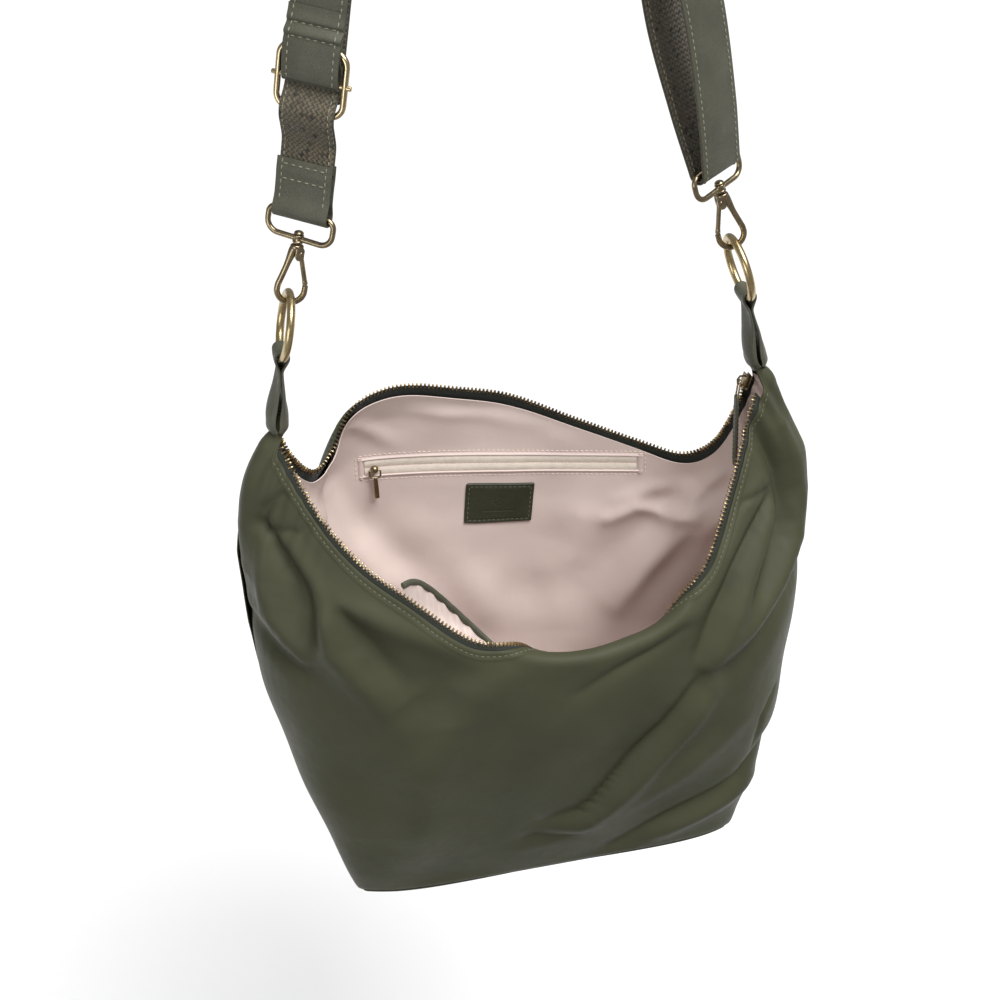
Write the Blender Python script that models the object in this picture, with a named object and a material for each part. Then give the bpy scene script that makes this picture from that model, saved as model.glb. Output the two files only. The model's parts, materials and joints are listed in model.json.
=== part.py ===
"""Slouchy hobo crossbody bag: nylon body, satin lining, leather trim and antique brass hardware.

Frame: the origin is the point under the strap's arch where the bag hangs, +Z is up, +X is to the
right of someone who faces the bag's front, and the front faces -Y. Lengths are in metres.
"""

import math

import bmesh
import bpy
from mathutils import Matrix, Vector

MM = 0.001
GAP = 0.3 * MM
CURVE_STEPS = 16                 # straight steps between two given points of a smooth path
RIM_STEPS = 161

# Strap and the chains of hardware at its two ends. Left is side -1, right is side +1.
STRAP_WIDTH = 35 * MM
STRAP_SPREAD = 127.5 * MM        # half the distance between the two strap bars
STRAP_BAR_Z = -324.5 * MM
STRAP_LEAN = math.radians(11)
STRAP_STRAIGHT = 172 * MM        # straight length above each bar
STRAP_TWIST = math.radians(32)   # how far each lower end faces outwards from the front
WEBBING = (-1.2 * MM, 0.0)       # webbing's and leather's places across the band's thickness
LEATHER = (0.3 * MM, 1.2 * MM)
FOLD_RADIUS = 5.0 * MM           # band's middle where it wraps a bar
BAND_STEP = 11 * MM
INNER_START = 8.3 * MM           # where the band starts, inside the left leather tab
OUTER_LIFT = 3.4                 # millimetres between the two layers' middles where they lie together
FOLD_STEPS = 12
ARCH_STEPS = 18

CHAIN_LEAN = math.radians(14)
LOOP_HALF_WIDTH = 21.2 * MM
LOOP_HEIGHT = 16 * MM
LOOP_WIRE = 1.8 * MM
LOOP_CORNERS = (5 * MM, 7.5 * MM)  # upper and lower corner radii
TAB_LEATHER = 1.2 * MM
TAB_TURN = 4.4 * MM              # the tab's middle where it wraps the bar
# One face of the tab, as (up the strap, outwards) in millimetres: flat on the band, open at the bar.
TAB_FACE = [(32, 2.2), (20, 2.2), (9.5, 2.25), (5, 3.5), (2.5, 4.25)]

# Adjuster slide on the left end of the strap.
ADJUSTER_S = 80.5 * MM           # its middle, measured up the strap from the left bar
ADJUSTER_N = 4.5 * MM            # its wire plane stands this far in front of the inner layer
ADJUSTER_HALF_WIDTH = 21 * MM
ADJUSTER_HALF_HEIGHT = 18.5 * MM
ADJUSTER_WIRE = 1.9 * MM
ADJUSTER_BAR = 1.5 * MM
ADJUSTER_PLAY = 0.2 * MM
ADJUSTER_CORNER = 8 * MM
ADJUSTER_SPAN = (30 * MM, 25 * MM)  # half lengths of the hole through the frame and of the bar in it
LOOP_END_LENGTH = 41 * MM        # doubled leather from the adjuster's bar up to the outer layer
STRETCH_END = 170 * MM

# Swivel hook, measured down from the loop's lower bar.
HOOK_WIRE = 1.9 * MM
HOOK_DROP = 41 * MM              # to the middle of the hook's bottom wire
HOOK_RADIUS = 8.4 * MM
HEAD_TOP = 3.5 * MM
HEAD_BOTTOM = 13 * MM
RIVET_X = 2.6 * MM
RIVET_DROP = 8.6 * MM
NOSE_DROP = 29.5 * MM
NOSE_X = 8.4 * MM
BOSS_RADIUS, BOSS_HALF = 3.3 * MM, 2.6 * MM
POST_HOLE, POST_HOLE_HALF = 1.8 * MM, 9 * MM
POST_RADIUS, POST_REACH = 1.3 * MM, (-5.8 * MM, 3.4 * MM)
CAP_RADII, CAP_REACH = (3.0 * MM, 1.9 * MM), (3.0 * MM, 4.8 * MM)
HEAD_SIDES = (-4.2 * MM, 4.6 * MM)
HEAD_HALF_DEPTH = 3.5 * MM
HEAD_BEVEL = 1.6 * MM
SPINE = [(-2.2, -9), (-5.2, -20), (-8.1, -30)]  # (x, z) in millimetres, as are the leaf's points
SLOT_START, SLOT_END, SLOT_TOP = -0.6 * MM, 9 * MM, -6 * MM
SLOT_HALF_DEPTH = 1.9 * MM
SOCKET_RADIUS, SOCKET_DEPTH = 1.8 * MM, 6.3 * MM
RIVET_RADIUS, RIVET_HALF = 0.95 * MM, 4.1 * MM
RIVET_HOLE, HOLE_HALF = 1.25 * MM, 6 * MM
GATE_HUB, GATE_HALF = 2.0 * MM, 1.5 * MM
GATE_WIRE = 1.5 * MM
GATE_TIP_X, GATE_OVERLAP = 8.2 * MM, 1.3 * MM
LEAF = [(-0.1, -7.5), (0.0, -10.8), (1.2, -14)]
LEAF_HALF = (1.2 * MM, 0.15 * MM)

RING_RADIUS = 20.4 * MM
RING_WIRE = 2.6 * MM
RING_SEAT = 5.0 * MM             # ring's wire above the hook's wire, middle to middle
RING_STEPS = 32

# Folded leather tab between a ring and the bag's tip.
TAB_EYE_GAP, TAB_EYE_SKIN = 0.7 * MM, 1.7 * MM
TAB_LEG = [(-2.4, -10), (-2.7, -20), (-4.2, -32)]  # its half profile, (x, z) in millimetres
TAB_FOOT, TAB_FOOT_GAP = 7.0 * MM, 0.5 * MM   # half its thickness at the tip, its clearance there
TAB_HALF, TAB_FLARE = 8.5 * MM, 2.5 * MM
TAB_ROUND = 14 * MM              # height over which its top follows the ring's curve

# Bag. Heights are z; the rims run from the left tip to the right tip.
# A rim's points are (x, y, z) in millimetres; the other rows are (z, value) in millimetres, and
# squareness is the power of the superellipse that makes the section.
TIP = (158 * MM, -462 * MM)
BASE_Z = -828 * MM
SHELL = 0.9 * MM
TAPE_DEPTH, TAPE = 1.3 * MM, 0.6 * MM
TAPE_EDGES = (2.7 * MM, 14 * MM)  # tape's reach below the line of teeth
TEETH_DEPTH, TEETH = 0.4 * MM, 2.4 * MM
TEETH_EDGES = (-1.4 * MM, 1.7 * MM)
FRONT_LINING_DEPTH = 2.4 * MM
BACK_LINING_DEPTH = 4.8 * MM
LINING = 0.7 * MM
SHELL_EDGE = 4.5 * MM            # shell's edge below the line of teeth
LINING_EDGE = 7 * MM
RIM_FADE = 2.2                   # how fast a wall settles from its rim into its section
COLUMNS = 38
TAPE_COLUMNS = (4, 33)           # the zip's run between its two ends, in wall columns
LOWER_ROWS = 9
ROW_CROWDING = 1.15              # rows crowd a little towards the rim
BASE_INSET, BASE_PANEL = 0.5 * MM, (-1.5 * MM, -GAP)   # panels' places above the lowest section
LINING_INSET, LINING_PANEL = 7 * MM, (0.6 * MM, 1.4 * MM)

FRONT_RIM = [
    (-160, 0, -465), (-158, -6, -467), (-150, -20, -489), (-138, -40, -513), (-118, -63, -535),
    (-92, -78, -556), (-60, -88, -584), (-22, -93, -603), (20, -93, -609), (60, -87, -603),
    (90, -77, -590), (112, -61, -558), (130, -40, -528), (146, -20, -497), (158, -6, -467),
    (160, 0, -465),
]
BACK_RIM = [
    (-160, 0, -465), (-158, 6, -467), (-150, 14, -492), (-137, 26, -511), (-123, 38, -503), (-108, 47, -480),
    (-84, 53, -472), (-50, 57, -475), (0, 59, -490), (50, 58, -516), (92, 55, -538),
    (122, 46, -549), (140, 32, -536), (150, 18, -506), (158, 6, -467), (160, 0, -465),
]
HALF_WIDTH = [(-465, 160), (-500, 178), (-550, 189), (-600, 191), (-660, 186), (-720, 174),
              (-780, 157), (-828, 142)]
FRONT_DEPTH = [(-465, 16), (-500, 46), (-550, 78), (-600, 93), (-660, 91), (-720, 77), (-780, 57),
               (-828, 40)]
BACK_DEPTH = [(-465, 30), (-500, 52), (-550, 60), (-600, 63), (-660, 63), (-720, 58), (-780, 49),
              (-828, 40)]
SQUARENESS = [(-462, 2.4), (-560, 2.8), (-700, 3.0), (-828, 5.0)]

POCKET_LEFT = (-100, -535)       # pocket zip's two ends on the back lining, (x, z) in millimetres
POCKET_RIGHT = (92, -555)
POCKET_WINDOW = 11 * MM
WINDOW_CUT, WINDOW_CUT_Y = (-150 * MM, 150 * MM), 200 * MM   # reach of the tool through the back lining
POCKET_DEPTH = 120 * MM
POCKET_TAPE_EDGES = (1.2 * MM, 10 * MM)
POCKET_TAPE = (3.0 * MM, 0.7 * MM)  # depth under the wall's outer face, and thickness
COIL_HALF, COIL = 0.9 * MM, 1.3 * MM
POCKET_BAG = (1.6 * MM, 0.5 * MM)   # depth and thickness
POCKET_TRIMS = {"tape": 0.02, "coil": 0.015, "bag": 0.04}  # shares of the length past each end
PATCH_CENTRE = (-6.5, -577)
PATCH_TILT = math.radians(-7)
PATCH_SIZE = (49 * MM, 31 * MM)
PATCH_GAP = 0.8 * MM             # small sheets clear the flat facets of the walls they lie on
PATCH = 1.4 * MM
SLIP_TOP = [(-92, -567), (-80, -571), (-60, -592), (-38, -621), (0, -640), (40, -642), (70, -634)]
SLIP_BASE = -735
SLIP_GAP, SLIP_GAPE = 0.6 * MM, 14 * MM
SLIP_SHEET = 0.6 * MM
SLIP_BINDING = (-0.3 * MM, 1.4 * MM)      # place across the sheet, and thickness
SLIP_BINDING_EDGES = (3.6 * MM, 3.1 * MM)  # rise above the sheet's edge, and width

# Zip sliders and pullers. Lists of points are in millimetres.
SLIDER_CENTRE = (151.5 * MM, 0, -476 * MM)
SLIDER_SLOPE = math.atan2(8, 24)
SLIDER_OUTLINE = [(-3.6, -1.9), (3.6, -1.9), (3.6, -1.0), (0.7, -1.0), (0.7, 1.0), (3.6, 1.0),
                  (3.6, 1.9), (-3.6, 1.9), (-3.6, 1.0), (-0.7, 1.0), (-0.7, -1.0), (-3.6, -1.0)]
SLIDER_HALF = 5
BRIDGE = [(-1.6, 3.6), (-5.0, 2.6), (-6.0, 0), (-5.0, -2.6), (-1.6, -3.6)]
BRIDGE_WIRE = 0.7 * MM
LINK_HANG = 4.4 * MM             # the link's top end, out from the slider's middle
LINK_DROP = 13.6                 # millimetres between the link's two ends
LINK_LEAN = math.radians(8)
LINK_HALF, LINK_SIDE, LINK_CORNER = 1.9, 12.4, 1.1
LINK_WIRE = 0.6 * MM
PULLER_HUB, PULLER_HUB_HALF, PULLER_EYE = 2.5 * MM, 0.9 * MM, 1.0 * MM
PULLER_STRIP = ((-1.1 * MM, -3.0 * MM, -50 * MM), (1.1 * MM, 3.0 * MM, -2 * MM))
STOP_HALF = (2.0 * MM, 2.4 * MM, 1.5 * MM)
STOP_PLACE = (156.2 * MM, -464.5 * MM)
BALL_RADIUS, BALL_LIFT = 2.9 * MM, 3.4 * MM
BALL_PLACE = 0.035               # share along the pocket's zip where its slider is parked
BALL_PIN = (0, -1.3 * MM, -0.6 * MM)      # puller's axis from the ball's middle
BALL_EYE = 0.9 * MM
WIRE_LOOP = [(-3.9, 0), (-3.9, -2.5), (-1.2, -5.2), (1.2, -5.2), (3.9, -2.5), (3.9, 0)]
WIRE_LOOP_WIRE = 0.55 * MM
PULL_BAR = ((-1.5 * MM, -0.8 * MM, -21 * MM), (1.5 * MM, 0.8 * MM, -4.9 * MM))

OLIVE_NYLON = ("olive_nylon", (0.052, 0.062, 0.030), 0.55, 0.0)
OLIVE_LEATHER = ("olive_leather", (0.075, 0.082, 0.048), 0.6, 0.0)
OLIVE_WEBBING = ("olive_webbing", (0.090, 0.080, 0.048), 0.85, 0.0)
BLUSH_LINING = ("blush_lining", (0.66, 0.52, 0.46), 0.5, 0.0)
BLACK_TAPE = ("zip_tape", (0.012, 0.016, 0.011), 0.8, 0.0)
CREAM_TAPE = ("pocket_zip_tape", (0.80, 0.72, 0.60), 0.8, 0.0)
DARK_BRASS = ("dark_brass", (0.16, 0.12, 0.07), 0.4, 1.0)
ANTIQUE_BRASS = ("antique_brass", (0.30, 0.22, 0.12), 0.35, 1.0)
SATIN_BRASS = ("satin_brass", (0.50, 0.37, 0.17), 0.35, 1.0)


# ---------------------------------------------------------------- general helpers

def clear_scene():
    for obj in list(bpy.data.objects):
        bpy.data.objects.remove(obj, do_unlink=True)


def material(finish):
    name, colour, roughness, metallic = finish
    found = bpy.data.materials.get(name)
    if found:
        return found
    mat = bpy.data.materials.new(name)
    mat.use_nodes = True
    shader = mat.node_tree.nodes["Principled BSDF"]
    shader.inputs["Base Color"].default_value = (*colour, 1)
    shader.inputs["Roughness"].default_value = roughness
    shader.inputs["Metallic"].default_value = metallic
    mat.diffuse_color = (*colour, 1)
    return mat


def add_object(name, bm, finish, origin=(0, 0, 0), parent=None):
    """Link a mesh whose points are in its own frame; its normals are made to point out."""
    bmesh.ops.recalc_face_normals(bm, faces=bm.faces)
    mesh = bpy.data.meshes.new(name)
    bm.to_mesh(mesh)
    bm.free()
    mesh.materials.append(material(finish))
    mesh.shade_smooth()
    mesh.set_sharp_from_angle(angle=math.radians(40))
    obj = bpy.data.objects.new(name, mesh)
    obj.location = origin
    obj.parent = parent
    bpy.context.collection.objects.link(obj)
    return obj


def empty(name, location, rotation=(0, 0, 0)):
    obj = bpy.data.objects.new(name, None)
    obj.location = location
    obj.rotation_euler = rotation
    bpy.context.collection.objects.link(obj)
    return obj


def use_as_tool(obj, target, operation):
    """Cut the tool out of the target, or merge it in, with a Boolean modifier."""
    obj.hide_render = True
    obj.display_type = 'WIRE'
    modifier = target.modifiers.new(obj.name, 'BOOLEAN')
    modifier.operation = operation
    modifier.solver = 'EXACT'
    modifier.object = obj


def smooth_path(points, count):
    """Points evenly spaced along a Catmull-Rom curve through the given points."""
    pts = [Vector(p) for p in points]
    pts = [2 * pts[0] - pts[1]] + pts + [2 * pts[-1] - pts[-2]]
    dense = []
    for a, b, c, d in zip(pts, pts[1:], pts[2:], pts[3:]):
        for k in range(CURVE_STEPS):
            t = k / CURVE_STEPS
            dense.append(0.5 * (2 * b + (c - a) * t + (2 * a - 5 * b + 4 * c - d) * t * t
                                + (3 * b - a - 3 * c + d) * t ** 3))
    dense.append(pts[-2])
    lengths = [0.0]
    for a, b in zip(dense, dense[1:]):
        lengths.append(lengths[-1] + (b - a).length)
    path, k = [], 0
    for i in range(count):
        goal = lengths[-1] * i / (count - 1)
        while k < len(dense) - 2 and lengths[k + 1] < goal:
            k += 1
        share = (goal - lengths[k]) / (lengths[k + 1] - lengths[k])
        path.append(dense[k].lerp(dense[k + 1], min(max(share, 0), 1)))
    return path


def table(rows, x):
    """Smooth value at x from (x, value) rows in falling or rising order of x."""
    rows = sorted(rows)
    if x <= rows[0][0]:
        return rows[0][1]
    if x >= rows[-1][0]:
        return rows[-1][1]
    k = max(i for i in range(len(rows) - 1) if rows[i][0] <= x)
    (x0, y0), (x1, y1) = rows[k], rows[k + 1]
    before = rows[k - 1] if k else rows[k]
    after = rows[k + 2] if k + 2 < len(rows) else rows[k + 1]
    slope0 = (y1 - before[1]) / (x1 - before[0])
    slope1 = (after[1] - y0) / (after[0] - x0)
    t, h = (x - x0) / (x1 - x0), x1 - x0
    return ((2 * t ** 3 - 3 * t * t + 1) * y0 + (t ** 3 - 2 * t * t + t) * h * slope0
            + (3 * t * t - 2 * t ** 3) * y1 + (t ** 3 - t * t) * h * slope1)


def circle_outline(radius, sides=10):
    return [(radius * math.cos(2 * math.pi * k / sides), radius * math.sin(2 * math.pi * k / sides))
            for k in range(sides)]


def box_outline(half_width, low, high):
    return [(-half_width, low), (half_width, low), (half_width, high), (-half_width, high)]


def sweep(frames, outline, closed=False):
    """Loft an outline through frames of (centre, across, up), with caps unless it closes.

    Both sides of a twisted strip are split along the same diagonals, so that two strips laid one
    on the other stay clear.
    """
    bm = bmesh.new()
    rings = []
    for centre, across, up in frames:
        rings.append([bm.verts.new(centre + across * a + up * b) for a, b in outline])
    pairs = list(zip(rings, rings[1:]))
    if closed:
        pairs.append((rings[-1], rings[0]))
    for low, high in pairs:
        for k in range(len(outline)):
            m = (k + 1) % len(outline)
            if outline[k][0] <= outline[m][0]:
                bm.faces.new((low[k], low[m], high[m]))
                bm.faces.new((low[k], high[m], high[k]))
            else:
                bm.faces.new((low[k], low[m], high[k]))
                bm.faces.new((low[m], high[m], high[k]))
    if not closed:
        bm.faces.new(rings[0])
        bm.faces.new(rings[-1])
    return bm


def flat_frames(points, normal, closed=False):
    """Frames along a path that lies in a plane with the given normal."""
    pts = [Vector(p) for p in points]
    frames = []
    for k, p in enumerate(pts):
        if closed:
            ahead, behind = pts[(k + 1) % len(pts)], pts[k - 1]
        else:
            ahead, behind = pts[min(k + 1, len(pts) - 1)], pts[max(k - 1, 0)]
        tangent = (ahead - behind).normalized()
        frames.append((p, normal, tangent.cross(normal).normalized()))
    return frames


def wire(points, radius, closed=False, sides=10):
    """Round wire along a path in the XZ plane."""
    return sweep(flat_frames(points, Vector((0, 1, 0)), closed), circle_outline(radius, sides), closed)


def arc(cx, cz, radius, start, end, steps):
    """Points on an arc in the XZ plane; angles in degrees from +X towards +Z."""
    return [(cx + radius * math.cos(math.radians(start + (end - start) * k / steps)), 0,
             cz + radius * math.sin(math.radians(start + (end - start) * k / steps)))
            for k in range(steps + 1)]


def rounded_rectangle(half_width, top, bottom, top_radius, bottom_radius, steps=5):
    """Closed path in the XZ plane, anticlockwise from the top right corner."""
    top_in, bottom_in = half_width - top_radius, half_width - bottom_radius
    return (arc(top_in, top - top_radius, top_radius, 0, 90, steps)
            + arc(-top_in, top - top_radius, top_radius, 90, 180, steps)
            + arc(-bottom_in, bottom + bottom_radius, bottom_radius, 180, 270, steps)
            + arc(bottom_in, bottom + bottom_radius, bottom_radius, 270, 360, steps))


def cylinder(radius, low, high, axis='Z', centre=(0, 0, 0), sides=20, top_radius=None):
    bm = bmesh.new()
    bmesh.ops.create_cone(bm, cap_ends=True, segments=sides, radius1=radius,
                          radius2=radius if top_radius is None else top_radius, depth=high - low)
    bmesh.ops.translate(bm, verts=bm.verts, vec=(0, 0, (low + high) / 2))
    turn = {'Z': Matrix.Identity(3), 'Y': Matrix.Rotation(math.radians(-90), 3, 'X'),
            'X': Matrix.Rotation(math.radians(90), 3, 'Y')}[axis]
    bmesh.ops.rotate(bm, verts=bm.verts, matrix=turn)
    bmesh.ops.translate(bm, verts=bm.verts, vec=centre)
    return bm


def box(low, high):
    bm = bmesh.new()
    bmesh.ops.create_cube(bm, size=1)
    for vert in bm.verts:
        for k in range(3):
            vert.co[k] = high[k] if vert.co[k] > 0 else low[k]
    return bm


# ---------------------------------------------------------------- strap

def strap_stations(side):
    """(distance from the bar, point, upward tangent) from a bar to the top of the arch."""
    bar = Vector((side * STRAP_SPREAD, 0, STRAP_BAR_Z))
    up = Vector((-side * math.sin(STRAP_LEAN), 0, math.cos(STRAP_LEAN)))
    shoulder = bar + up * STRAP_STRAIGHT
    pull = 0.5 * abs(shoulder.z)
    handles = [shoulder, shoulder + up * pull, Vector((shoulder.x * 0.55, 0, 0)), Vector((0, 0, 0))]
    stations = []
    count = round(STRAP_STRAIGHT / BAND_STEP)
    for k in range(count):
        s = STRAP_STRAIGHT * k / count
        stations.append((s, bar + up * s, up))
    s, last = STRAP_STRAIGHT, shoulder
    a, b, c, d = handles
    for k in range(ARCH_STEPS + 1):
        t = k / ARCH_STEPS
        point = ((1 - t) ** 3) * a + 3 * t * (1 - t) ** 2 * b + 3 * t * t * (1 - t) * c + t ** 3 * d
        slope = (1 - t) ** 2 * (b - a) + 2 * t * (1 - t) * (c - b) + t * t * (d - c)
        s += (point - last).length
        last = point
        stations.append((s, point, slope.normalized()))
    return stations


def strap_axes(side, s, up, length):
    """Across and outward directions of the strap, twisting from its lower end to its arch."""
    share = min(max((s - STRAP_STRAIGHT) / (length * 0.9 - STRAP_STRAIGHT), 0), 1)
    share = share * share * (3 - 2 * share)
    twist = STRAP_TWIST + (math.pi / 2 - STRAP_TWIST) * share
    flat = Vector((side * up.z, 0, -side * up.x))
    outward = flat * math.sin(twist) + Vector((0, -math.cos(twist), 0))
    across = up.cross(outward) * -side
    return across.normalized(), outward.normalized()


# Each layer's offset outwards from the strap's middle line, as rows of (distance from the bar,
# offset) in millimetres. On the right the two layers bulge apart.
LAYER_OFFSETS = {
    (-1, "inner"): [(0, 0), (400, 0)],
    (-1, "outer"): [(0, OUTER_LIFT), (400, OUTER_LIFT)],
    (1, "inner"): [(0, -5), (40, -11.5), (100, -17), (200, -9), (300, -1), (360, 0), (400, 0)],
    (1, "outer"): [(0, 5), (40, 10), (100, 13), (200, 8), (300, 3.8), (360, OUTER_LIFT),
                   (400, OUTER_LIFT)],
}


def layer_frames(side, layer):
    """Band frames (centre, across, towards the leather) from a bar up to the arch's top."""
    stations = strap_stations(side)
    length = stations[-1][0]
    frames = []
    for s, point, up in stations:
        across, outward = strap_axes(side, s, up, length)
        offset = table(LAYER_OFFSETS[side, layer], s / MM) * MM
        facing = outward if layer == "outer" else -outward
        frames.append((s, (point + outward * offset, across, facing)))
    return frames


def lower_axes(side):
    """Bar point, upward, across and outward directions at a strap's lower end."""
    s, point, up = strap_stations(side)[0]
    across, outward = strap_axes(side, 0, up, 1)
    return point, up, across, outward


def band_frames():
    """The whole band: up from the left, over, round the right bar, and back over to the left."""
    left_inner = [frame for s, frame in layer_frames(-1, "inner") if s > INNER_START]
    point, up, across, outward = lower_axes(-1)
    left_inner.insert(0, (point + up * INNER_START, across, -outward))
    right_inner = [frame for s, frame in reversed(layer_frames(1, "inner"))][1:]
    bar, up, across, outward = lower_axes(1)
    fold = []
    for k in range(1, FOLD_STEPS):
        angle = math.pi * (1 + k / FOLD_STEPS)
        radial = outward * math.cos(angle) + up * math.sin(angle)
        fold.append((bar + radial * FOLD_RADIUS, across, radial))
    right_outer = [frame for s, frame in layer_frames(1, "outer")]
    left_outer = [frame for s, frame in reversed(layer_frames(-1, "outer")) if s > STRETCH_END][1:]
    point, up, across, outward = lower_axes(-1)
    end = point + up * (STRETCH_END + GAP) + outward * OUTER_LIFT * MM
    return left_inner + right_inner + fold + right_outer + left_outer + [(end, across, outward)]


def build_strap():
    frames = band_frames()
    for name, (low, high), finish in (("strap_webbing", WEBBING, OLIVE_WEBBING),
                                      ("strap_leather", LEATHER, OLIVE_LEATHER)):
        add_object(name, sweep(frames, box_outline(STRAP_WIDTH / 2, low, high)), finish)

    point, up, across, outward = lower_axes(-1)
    start = ADJUSTER_S + LOOP_END_LENGTH + 2 * GAP
    ends = [(point + up * s + outward * OUTER_LIFT * MM, across, outward) for s in (start, STRETCH_END)]
    outline = box_outline(STRAP_WIDTH / 2, WEBBING[0], LEATHER[1])
    add_object("strap_outer_stretch", sweep(ends, outline), OLIVE_LEATHER)


def strap_sheet(name, path, centre, thickness, finish):
    """Leather strip the width of the strap, along a path of (up the strap, outward) in mm."""
    point, up, across, outward = lower_axes(-1)
    to_world = [point + up * p.x + outward * p.y for p in path]
    frames = flat_frames(to_world, across)
    bm = sweep(frames, box_outline(STRAP_WIDTH / 2, -thickness / 2, thickness / 2))
    bmesh.ops.translate(bm, verts=bm.verts, vec=-centre)
    return add_object(name, bm, finish, origin=centre)


def half_turn(s, n, radius, steps=8):
    """Points round the lower side of a bar, from in front of it to behind it."""
    return [Vector((s - radius * math.sin(math.pi * k / steps),
                    n + radius * math.cos(math.pi * k / steps), 0)) for k in range(steps + 1)]


def build_strap_tab():
    point, up, across, outward = lower_axes(-1)
    front = smooth_path([(s * MM, n * MM, 0) for s, n in TAB_FACE], 10)
    back = [Vector((p.x, -p.y, 0)) for p in reversed(front)]
    path = front + half_turn(0, 0, TAB_TURN) + back
    strap_sheet("left_strap_tab", path, point, TAB_LEATHER, OLIVE_LEATHER)


def adjuster_origin():
    point, up, across, outward = lower_axes(-1)
    return point + up * ADJUSTER_S + outward * ADJUSTER_N


def strap_matrix():
    """Turns X, Y, Z into the left strap end's across, inward and upward directions."""
    point, up, across, outward = lower_axes(-1)
    return Matrix((across, -outward, up)).transposed()


def build_adjuster():
    origin, turn = adjuster_origin(), strap_matrix()
    frame = wire(rounded_rectangle(ADJUSTER_HALF_WIDTH, ADJUSTER_HALF_HEIGHT, -ADJUSTER_HALF_HEIGHT,
                                   ADJUSTER_CORNER, ADJUSTER_CORNER), ADJUSTER_WIRE, closed=True)
    bmesh.ops.rotate(frame, verts=frame.verts, matrix=turn)
    frame = add_object("adjuster_frame", frame, ANTIQUE_BRASS, origin)
    hole_half, bar_half = ADJUSTER_SPAN
    hole = cylinder(ADJUSTER_BAR + ADJUSTER_PLAY, -hole_half, hole_half, 'X')
    bmesh.ops.rotate(hole, verts=hole.verts, matrix=turn)
    use_as_tool(add_object("adjuster_hole", hole, ANTIQUE_BRASS, origin), frame, 'DIFFERENCE')

    bar = cylinder(ADJUSTER_BAR, -bar_half, bar_half, 'X', sides=14)
    bmesh.ops.rotate(bar, verts=bar.verts, matrix=turn)
    add_object("adjuster_bar", bar, ANTIQUE_BRASS, origin)


def build_loop_end():
    """Doubled leather end round the adjuster's bar, its two faces given from the bar up the strap."""
    origin = adjuster_origin()
    s, n = ADJUSTER_S, ADJUSTER_N
    over = ADJUSTER_N + ADJUSTER_WIRE + GAP + TAB_LEATHER / 2
    step = TAB_LEATHER + GAP
    front = [(s + LOOP_END_LENGTH, 4.8 * MM, 0), (s + 33 * MM, 5.9 * MM, 0),
             (s + 26 * MM, over + step - 0.9 * MM, 0), (s + 19 * MM, over + step, 0),
             (s + 9 * MM, over + step - 0.2 * MM, 0), (s + 2.5 * MM, 7.4 * MM, 0)]
    back = [(s + 2.5 * MM, 2.1 * MM, 0), (s + 6.5 * MM, 3.0 * MM, 0), (s + 10.5 * MM, 5.0 * MM, 0),
            (s + 13.8 * MM, over - 0.6 * MM, 0), (s + 16.5 * MM, over, 0), (s + 19 * MM, over, 0),
            (s + 26 * MM, over - 0.95 * MM, 0), (s + 33 * MM, 4.4 * MM, 0),
            (s + LOOP_END_LENGTH, 3.3 * MM, 0)]
    turn_radius = ADJUSTER_BAR + GAP + TAB_LEATHER / 2
    path = smooth_path(front, 16) + half_turn(s, n, turn_radius) + smooth_path(back, 18)
    strap_sheet("strap_loop_end", path, origin, TAB_LEATHER, OLIVE_LEATHER)


# ---------------------------------------------------------------- swivel hooks and rings

def ring_mesh(wire_radius):
    """Round ring in the YZ plane; its steps look the same after any quarter turn."""
    circle = [(a, 0, b) for a, b in circle_outline(RING_RADIUS, RING_STEPS)]
    ring = wire(circle, wire_radius, closed=True, sides=10)
    bmesh.ops.rotate(ring, verts=ring.verts, matrix=Matrix.Rotation(math.pi / 2, 3, 'Z'))
    return ring


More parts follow.
